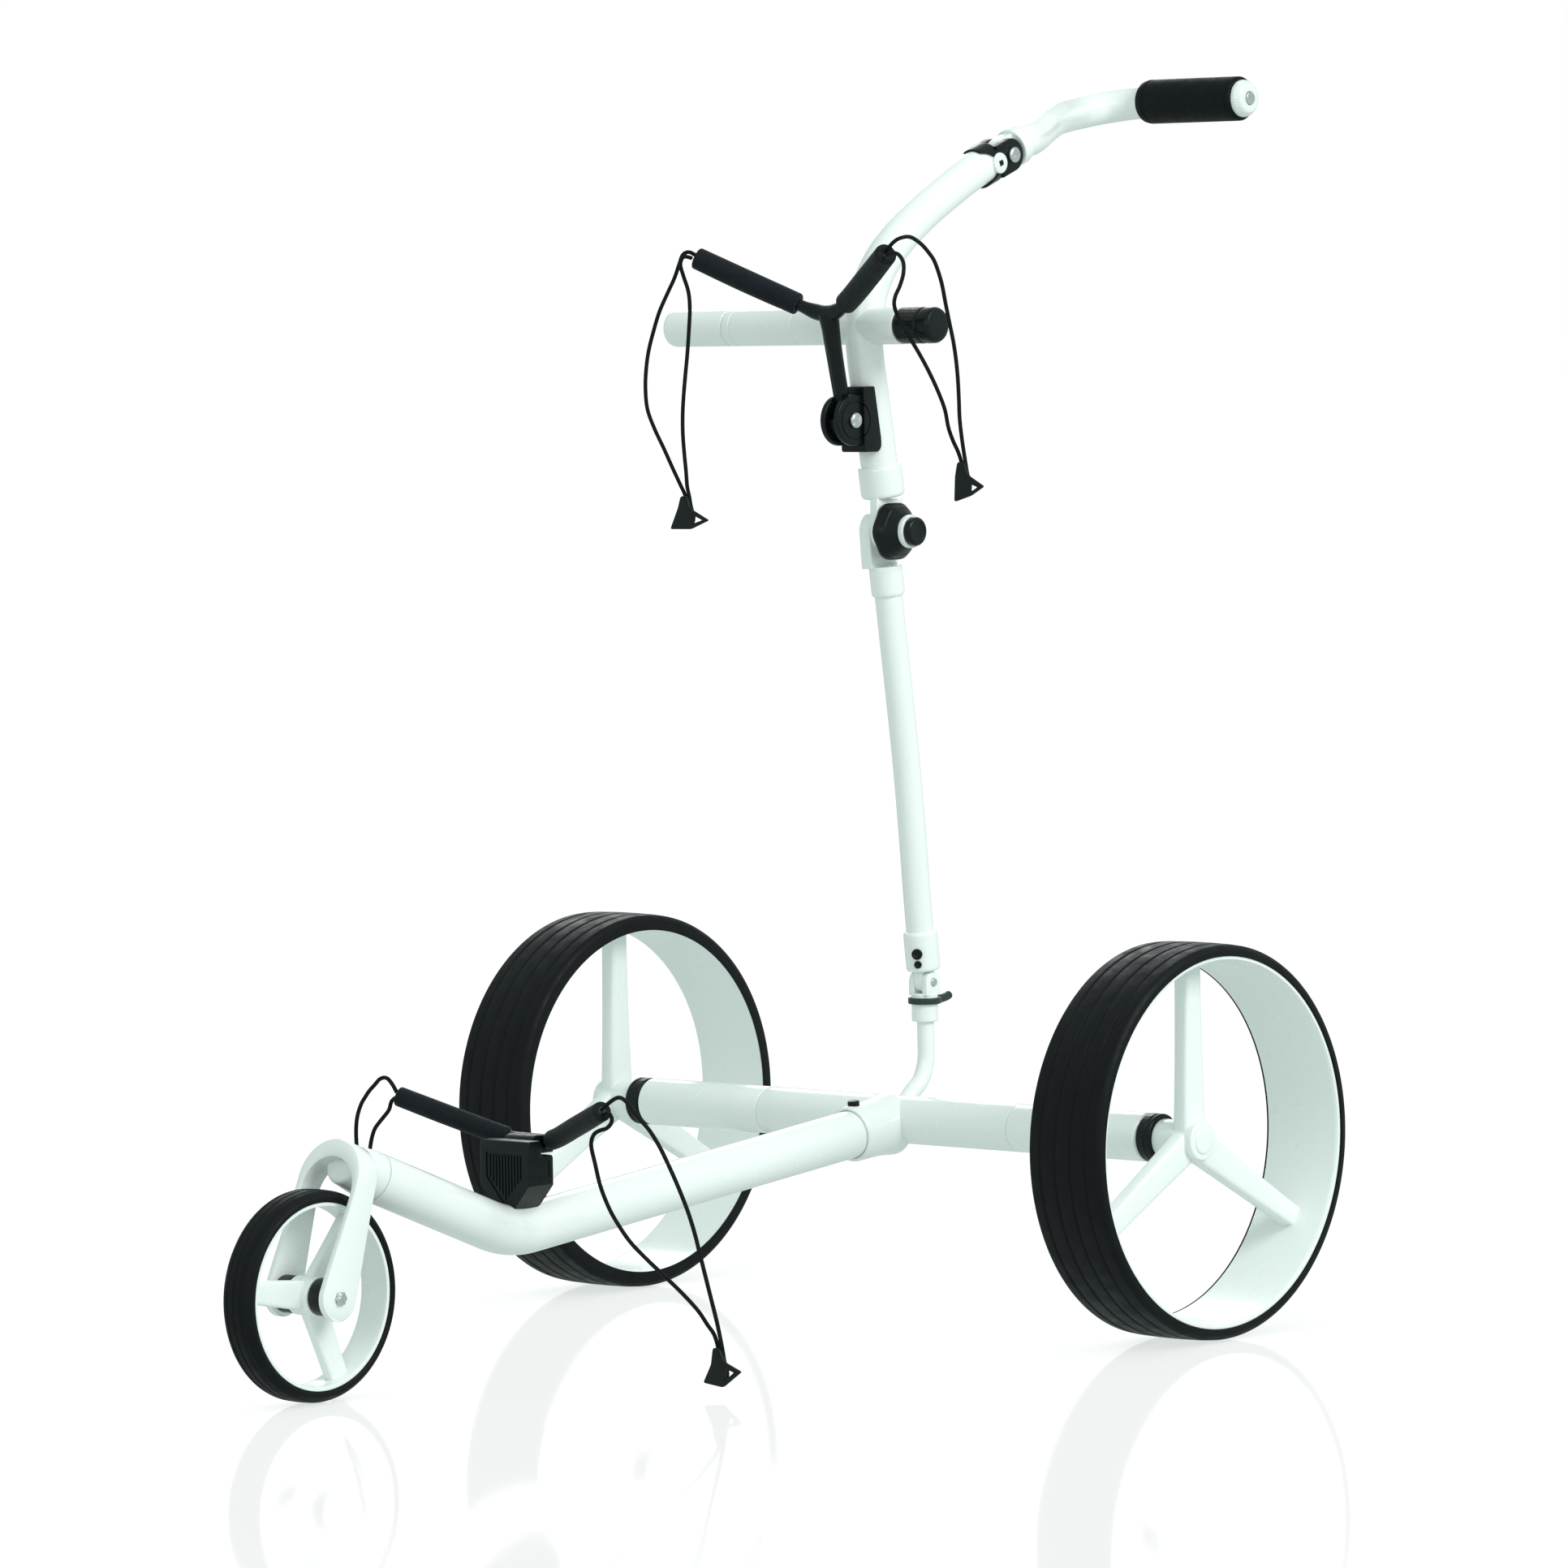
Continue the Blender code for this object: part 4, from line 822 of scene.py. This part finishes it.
def fork():
    lean_angle = math.radians(20.5)
    lean = Vector((0, math.sin(lean_angle), math.cos(lean_angle)))
    ahead = Vector((0, -math.cos(lean_angle), math.sin(lean_angle)))
    half, blade, height, crown_half, end_r = 29.8, 5.3, 111.5, 9.5, 16.5
    inner_r = half - blade
    outer_arch, inner_arch = height - half, height - 13.0 - inner_r
    column = []
    for i in range(1, 13):
        angle = math.radians(90 * i / 12)
        low = -end_r * math.cos(angle)
        column.append(((inner_r, low), (half, low), end_r * math.sin(angle)))
    rise, narrowing = 12, crown_half - end_r
    for i in range(1, rise + 1):
        t = i / rise
        deep = end_r + narrowing * (3 * t * t - 2 * t ** 3) * 0.35 + narrowing * 0.65 * t
        column.append(((inner_r, (inner_arch - 1) * t), (half, (outer_arch - 1) * t), deep))
    arch = []
    for i in range(41):
        angle = math.pi * i / 40
        cos, sin = math.cos(angle), math.sin(angle)
        arch.append(((inner_r * cos, inner_arch + inner_r * sin), (half * cos, outer_arch + half * sin),
                     crown_half))
    mirrored = [((-a[0], a[1]), (-b[0], b[1]), h) for a, b, h in reversed(column)]
    mesh, loops = bmesh.new(), []
    soft = 1.3
    for a, b, h in column + arch + mirrored:
        a, b = Vector(a), Vector(b)
        thick = (b - a).normalized()
        s = min(soft, h * 0.4)
        corners = []
        for base, inward, sign in ((a, thick, -1), (b, -thick, -1), (b, -thick, 1), (a, thick, 1)):
            trio = [(base + inward * s, sign * h), (base + inward * s * 0.3, sign * (h - s * 0.3)),
                    (base, sign * (h - s))]
            corners += trio[::-1] if (base is a) == (sign < 0) else trio
        loops.append([mesh.verts.new(FRONT_AXLE + X * p[0] + lean * p[1] + ahead * d) for p, d in corners])
    skinned(mesh, loops)
    into = (MAIN_END - MAIN_BEND).normalized()
    length = 33
    neck = solid([(0.3, 0), (0.3, 18, 1.0), (10, 17.5, 4), (length, 14.5, 3), (length, 0)], MAIN_END, into,
                 1, 96)
    blades = combined(mesh, (JOIN, neck), hole(FRONT_AXLE, 4.3, reach=40))
    finish("fork_piece", blades, WHITE, "chassis", "front_fork", 40)
    seat = half + GAP
    head = seat + 3
    bolt = [(-head, 0), (-head, 3.4), (-head + 1.2, 5), (-seat, 5), (-seat, 4), (seat, 4), (seat, 5),
            (head - 1.2, 5), (head, 3.4), (head, 0)]
    hexed = lambda angle, along, radius: (0.93 + 0.07 * math.cos(6 * angle)) if abs(along) > seat else 1
    finish("front_bolt", solid(bolt, FRONT_AXLE, X, 0.3, 96, hexed), STEEL, "chassis", "front_axle")
    for side, hand in SIDES:
        profile = [(10.9, 4.4), (10.9, 13.3), (24.2, 13.3), (24.2, 4.4)]
        finish(f"spacer_{hand}", ring(profile, FRONT_AXLE, X * side, 1.0, 72), BLACK, "chassis",
               f"front_spacer_{hand}")


def mirrored_arm_path(tip, middle, spacing):
    right = [Vector((-p[0], p[1], p[2])) for p in [tip] + middle]
    left = [Vector(p) for p in reversed([tip] + middle)]
    if middle and abs(middle[-1][0]) < 1e-6:
        left = left[1:]
    return smooth_path(right + left, spacing)


def pads(level, path, cover, radius, body):
    """Foam sleeves over the outer part of each arm, slightly plumper in the middle."""
    coarse = len(path) // 2
    for hand, stretch in (("right", path[:coarse - cover]), ("left", path[-(coarse - cover):])):
        swell = lambda t: 1 - 0.035 * (1 - math.sin(math.pi * min(1, max(0, t))))
        pad = finish(f"{level}_foam_{hand}", swept(stretch, radius, 48, 1.6, swell), FOAM, body,
                     f"{level}_pad_{hand}", 50)


def thicker_middle(t):
    """The arms' size along their length: stouter between the foam sleeves."""
    return 1 + 0.38 * math.exp(-((t - 0.5) / 0.075) ** 4)


def lower_bracket():
    path = mirrored_arm_path((101.6, -427, 193), [(60, -411, 178), (25, -397, 166), (0, -391, 162)], 3)
    outline = [(-423, 113.5), (-423, 166), (-409, 166), (-409, 155), (-397, 155), (-397, 117)]
    block = slab(outline, -24, 24, 1.0, "x", 2.2)
    steps = [(CUT, swept(main_path(), 18.2, 64))]
    for side in (-1, 1):
        corner = [(side * 30, 137), (side * 24, 134), (side * 5, 112), (side * 5, 105), (side * 30, 105)]
        steps.append((CUT, slab(corner, -430, -390, 0, "y")))
    panel = [(-18, 139), (-18, 157), (18, 157), (18, 139), (2, 121), (-2, 121)]
    steps.append((CUT, slab(panel, -425, -422.2, 0, "y", 1.5)))
    for side in (-1, 1):
        cheek = [(-419, 139), (-419, 151), (-401, 151), (-401, 139)]
        low, high = sorted((side * 23.4, side * 27))
        steps.append((CUT, slab(cheek, low, high, 0, "x", 1.5)))
    block = combined(block, *steps)
    for k in range(11):
        x = -15 + 3 * k
        foot = 123.5 + abs(x)
        slab([(x - 0.6, foot), (x - 0.6, 155.5), (x + 0.6, 155.5), (x + 0.6, foot)], -422.9, -421.5, 0, "y",
             0.4, block)
    finish("bracket_body", block, BLACK, "chassis", "bracket_block", CUT_EDGE)
    arms = swept(path, 4.5, 36, 1.2, thicker_middle)
    plate = [(-408.6, 155.4), (-408.6, 167), (-404, 169), (-386, 168), (-386, 155.4)]
    yoke = combined(arms, (JOIN, slab(plate, -14, 14, 0.8, "x", 1.8)))
    finish("lower_arms", yoke, BLACK, "chassis", "lower_yoke", CUT_EDGE)
    pads("lower", path, 7, 7.5, "chassis")


def stub():
    path = smooth_path([(0, 8, 152), (0, 20, 163), (0, 31, 172), (0, 37, 186), (0, 37.5, 205),
                        (0, 37.2, 226)], 3)
    post = Vector((0, HINGE.y, 0))
    steps = [(JOIN, solid([(216, 0), (216, 10), (237.4, 10), (237.4, 0)], post, Z, 1.2, 72))]
    steps += cheeks(HINGE, -Z, 8, 10, 4.3, 9, 0.6)
    steps.append(hole(HINGE))
    finish("stub_tube", combined(swept(path, 6.5, 48), *steps), WHITE, "chassis", "drawbar_stub", CUT_EDGE)
    pin = solid([(-10.5, 0), (-10.5, 3), (10.5, 3), (10.5, 0)], HINGE, X, 0.7, 48)
    finish("hinge_bolt", pin, STEEL, "chassis", "hinge_pin")
    collar = ring([(229.4, 10.3), (229.4, 12.7), (234.2, 12.7), (234.2, 10.3)], post, Z, 1.0, 72)
    tail = smooth_path([(0, 49, 232), (0, 56, 232), (0, 62, 233), (0, 66, 234.5)], 1.5)
    lever = combined(collar, (JOIN, swept(tail, 3.2, 32, 1.5)))
    finish("lever_piece", lever, LEVER, "lock_lever", "lock_lever", CUT_EDGE)


# Drawbar ----

def lower_shaft():
    body = "lower_shaft"
    start, end = Vector((0, 36, 257)), Vector((0, 0.4, 559.5))
    path = smooth_path([start, (0, 30.8, 304), (0, 21, 407), (0, 7.2, 510), end], 10)
    finish("lower_tube", swept(path, 10.5, 64), WHITE, body, "lower_shaft_tube")
    up = (path[1] - path[0]).normalized()
    cuff = solid([(-2, 0), (-2, 12), (0, 13, 1.5), (26, 13, 1.5), (28, 12), (28, 0)], start, up, 1.0, 80)
    cuff = combined(cuff, (JOIN, tongue(HINGE, Z, 7.7, 11, -4, 4, 0.6)), hole(HINGE, reach=8))
    finish("hinge_cuff", cuff, WHITE, body, "hinge_knuckle", CUT_EDGE)
    facing = Vector((0.42, -0.91, 0)).normalized()
    dots = bmesh.new()
    for height, size in ((3.0, 2.9), (11.0, 4.1)):
        profile = [(0, 0), (0, size), (2.3, size), (2.3, size - 1.4), (1.4, size - 2), (1.4, 0)]
        solid(profile, start + up * height + facing * 12.4, facing, 0.5, 48, into=dots)
    finish("cuff_buttons", dots, BLACK, body, "knuckle_plate")
    down = (path[-2] - path[-1]).normalized()
    cup = solid([(-3, 0), (-3, 11.6), (-2, 12.6, 1.5), (18, 12.6, 1.5), (20, 11.8), (20, 0)], end, down,
                0.8, 80)
    cup = combined(cup, (JOIN, tongue(FOLD, end - FOLD, 15, 27, -11, -0.3, 1.0)), hole(FOLD, 4.2))
    finish("fold_plate_lower", cup, WHITE, body, "fold_disc_lower", CUT_EDGE)


def handle_line():
    return Vector((0, math.cos(PIVOT_RISE), math.sin(PIVOT_RISE)))


def upper_path(spacing=6):
    line = handle_line()
    return smooth_path([FOLD + Vector((0, 0.8, 28)), (0, -12, 680), (0, -18.5, 719), (0, -19.5, 745),
                        (0, -9, 775), (0, 13, 801), (0, 45, 824), (0, 78, 842.5), PIVOT - line * 36,
                        PIVOT - line * 16], spacing)


def upper_shaft():
    body = "upper_shaft"
    path = upper_path()
    finish("upper_tube", swept(path, 14, 72, 1.0), WHITE, body, "upper_shaft_tube")
    up = (path[1] - path[0]).normalized()
    cup = solid([(-2, 0), (-2, 15), (0, 16.5, 1.8), (20, 16.5, 1.5), (22, 15.5), (22, 0)], path[0], up,
                0.8, 80)
    cup = combined(cup, (JOIN, tongue(FOLD, path[0] - FOLD, 15, 24.5, 0, 7.5, 1.0)), hole(FOLD, 4.2))
    finish("fold_plate_upper", cup, WHITE, body, "fold_disc_upper", CUT_EDGE)
    bar = [(-193, 0), (-193, 13, 0.8), (-190.5, 14, 1.2), (-134, 14), (-133.6, 12.6), (-132.4, 12.6),
           (-132, 14), (-126, 14), (-125.4, 13.4), (-124.6, 13.4), (-124, 14), (-62.7, 14), (-62.3, 13.6),
           (-61.7, 13.6), (-61.3, 14), (-1.9, 14), (-1.9, 0)]
    finish("bar_right", solid(bar, CROSSBAR, X, 0.3, 96), WHITE, body, "crossbar_right")
    short = ring([(0, 12), (0, 14), (39, 14), (39, 12)], CROSSBAR, X, 0.7, 96)
    finish("bar_left", short, WHITE, body, "crossbar_left")
    grooves = fluted(24, 0.03, 12.9, 43, 59.5)
    knob = [(22, 0), (22, 11.6), (39.3, 11.6), (39.3, 12.8), (41, 13.6), (60, 13.6), (60.8, 12.7),
            (63.2, 12.7), (64, 13.6), (71, 13.4), (73.4, 12), (74, 9), (74, 0)]
    finish("bar_knob", solid(knob, CROSSBAR, X, 0.7, 144, grooves), BLACK, "crossbar_knob", "crossbar_knob")
    bracket_clamp(body)
    handle_socket(body)


def bracket_clamp(body):
    outline = [(-34, 648), (-34, 697), (-18, 697), (-15, 693), (-15, 652), (-18, 648)]
    steps = cheeks(TILT, Y, 19, 12, 4.3, 9, 1.2)
    steps += [(CUT, swept(upper_path(), 14.1, 64)),
              (CUT, rod(TILT - X * 4.4, TILT + X * 4.4, 15)),
              hole(TILT),
              (CUT, ring([(8.3, 13.5), (8.3, 14.5), (12.6, 14.5), (12.6, 13.5)], TILT, X, 0.1, 72))]
    finish("clamp_piece", combined(slab(outline, -12, 12, 0.9, "x", 2.0), *steps), BLACK, body,
           "bracket_clamp", CUT_EDGE)
    finish("tilt_bolt", slotted_screw(TILT, 9), STEEL, body, "tilt_screw", CUT_EDGE)


def slotted_screw(centre, half):
    head = half + GAP
    profile = [(-half - 0.5, 0), (-half - 0.5, 3), (head, 3), (head, 6), (head + 2, 6, 1),
               (head + 3, 4.5, 0.8), (head + 3, 0)]
    slot_cut = bmesh.new()
    bmesh.ops.create_cube(slot_cut, size=1)
    slot_cut.transform(Matrix.Translation(Vector(centre) + X * (head + 3)) @ Matrix.Rotation(0.6, 4, "X")
                       @ Matrix.Diagonal((2.2, 16, 1.5, 1)))
    return combined(solid(profile, centre, X, 0.5, 64), (CUT, slot_cut))


def handle_socket(body):
    line = handle_line()
    profile = [(-13, 0), (-13, 14.5, 1.2), (-15, 16, 1), (-29, 16), (-30, 15.5, 0.4), (-30, 14.3),
               (-15, 14.3), (-15, 0)]
    steps = cheeks(PIVOT, -line, 12.6, 15.7, 5.3, 13.5, 1.4)
    mouth = PIVOT - line * 33
    steps.append((CUT, rod(mouth - X * 20, mouth + X * 20, 13.2)))
    steps.append(hole(PIVOT))
    finish("socket_fork", combined(solid(profile, PIVOT, line, 0.6, 96), *steps), BLACK, body,
           "handle_socket", CUT_EDGE)
    finish("handle_bolt", slotted_screw(PIVOT, 13.5), STEEL, body, "handle_pin", CUT_EDGE)
    eye = PIVOT - line * 17.5
    disc = solid([(12.6, 0), (12.6, 8), (15.3, 8, 1.2), (15.8, 5.5, 1), (15.9, 0)], eye, X, 0.6, 64)
    finish("socket_disc", disc, DIAL, body)


def fold_knob():
    lobes = fluted(6, 0.06, 15)
    dial = solid([(7.8, 0), (7.8, 20), (9, 22.5, 1), (12.5, 22.8, 1.5), (14.5, 21, 1.5), (17.5, 19.2, 0.6),
                  (18, 18.4, 0.3), (25, 12.4), (25, 0)], FOLD, X, 0.6, 144, lobes)
    stem = solid([(-14, 0), (-14, 4), (15, 4), (15, 8), (30, 8), (30, 10.8), (34, 10.8, 1), (35.5, 9, 0.8),
                  (35.5, 7.4, 0.3), (34.9, 7, 0.3), (34.9, 0)], FOLD, X, 0.3, 96)
    finish("fold_knob_piece", combined(dial, (JOIN, stem)), BLACK, "fold_knob", "fold_knob", CUT_EDGE)
    collar = ring([(25.3, 8.3), (25.3, 12.5), (29.7, 12.5), (29.7, 8.3)], FOLD, X, 0.8, 96)
    finish("knob_ring", collar, DIAL, "fold_knob", "knob_collar")


def upper_bracket():
    body = "upper_bracket"
    path = mirrored_arm_path((94.6, -100.5, 795),
                             [(62, -84.5, 778), (30, -69, 762), (12, -62.5, 754), (0, -61, 752)], 3)
    middle = path[len(path) // 2]
    stem = middle - TILT
    along, across = stem.normalized(), X.cross(stem.normalized())
    bar = [tuple((TILT + along * a + across * b).yz)
           for a, b in ((0, -5), (stem.length + 3, -5), (stem.length + 3, 5), (0, 5))]
    neck = smooth_path([TILT + along * 20, TILT + along * (stem.length * 0.6), middle + along * 1.5], 4)
    yoke = combined(swept(path, 4.5, 36, 1.2, thicker_middle),
                    (JOIN, swept(neck, 5.6, 36, 1.2, lambda t: 1 + 0.45 * t ** 3)),
                    (JOIN, tongue(TILT, stem, 14.2, 4, -4, 4, 0.8)),
                    (JOIN, slab(bar, -3.9, 3.9, 0.9, "x", 1.8)),
                    hole(TILT, reach=8))
    finish("upper_arms", yoke, BLACK, body, "upper_yoke", CUT_EDGE)
    pads("upper", path, 8, 8.6, body)


def handle():
    body = "handle"
    line = handle_line()
    path = smooth_path([PIVOT + line * 16, PIVOT + line * 30, (-8, 188, 883.5), (-24, 220, 891.5),
                        (-48, 262, 898.5), (-72, 303, 902), (-86, 336, 905), (-82, 361, 909),
                        (-64, 373, 911.8), (-46, GRIP.y, GRIP.z), (-20, GRIP.y, GRIP.z),
                        (20, GRIP.y, GRIP.z), (44, GRIP.y, GRIP.z)], 6)
    finish("handle_bar", swept(path, 13, 64), WHITE, body, "handle_tube")
    profile = [(14, 0), (14, 14), (15, 15, 1), (23, 15, 1), (24, 14.4, 0.5), (24, 0)]
    knuckle = combined(solid(profile, PIVOT, line, 0.8, 96),
                       (JOIN, tongue(PIVOT, line, 12.3, 14.5, -5, 5, 0.8)),
                       hole(PIVOT, reach=8))
    finish("handle_cuff", knuckle, WHITE, body, "handle_knuckle", CUT_EDGE)
    half, bore = 48.0, 13.3
    outer = [(-half, bore, 0.5), (-half, 14.5, 0.8), (-half + 2, 16.4, 1), (-half + 6, 17.3, 1.2),
             (-half + 8, 17.3), (-half + 8.8, 16.7), (-half + 9.6, 17.3)]
    outer += [(half - 4.6, 17.3), (half - 4, 16.8), (half - 3.4, 17.3), (half - 1.5, 17.2, 1),
              (half, 15.8, 0.8), (half, 14.2, 0.4), (half - 0.5, 14.0, 0.2), (half - 3, bore)]
    ribs = fluted(48, 0.009, 17.29, -38, 43)
    finish("grip_piece", ring(outer, GRIP, X, 0.4, 240, ribs), SOFT_BLACK, body, "grip")
    face = half + GAP
    notches = fluted(36, 0.02, 13.5, face + 0.2)
    profile = [(30, 5.4), (30, 9), (face, 9), (face, 14.6, 0.6), (face + 3, 14.6, 1.5),
               (face + 7.4, 11.6, 1.5), (face + 8, 9.6, 0.8), (face + 8, 5.4)]
    finish("dial_piece", ring(profile, GRIP, X, 0.3, 144, notches), DIAL, "speed_dial", "speed_dial")
    press = solid([(0, 0), (0, 5), (face - 34 + 9.2, 5, 0.8), (face - 34 + 9.0, 0)], GRIP + X * 34, X, 0.8,
                  64)
    finish("start_button_piece", press, STEEL, "start_button", "start_button")


def leftovers():
    """The CAD node that no piece replaces keeps its shape and gets a finish."""
    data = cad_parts["motor_controller"].data
    data.materials.clear()
    data.materials.append(BLACK)


camera()
for (strap_level, strap_hand), strap_shape in STRAPS.items():
    strap(strap_level, strap_hand, **strap_shape)
studio()
for wheel_side, wheel_hand in SIDES:
    rear_wheel(wheel_hand, wheel_side)
front_wheel()
axle()
main_frame()
fork()
lower_bracket()
stub()
lower_shaft()
upper_shaft()
fold_knob()
upper_bracket()
handle()
leftovers()
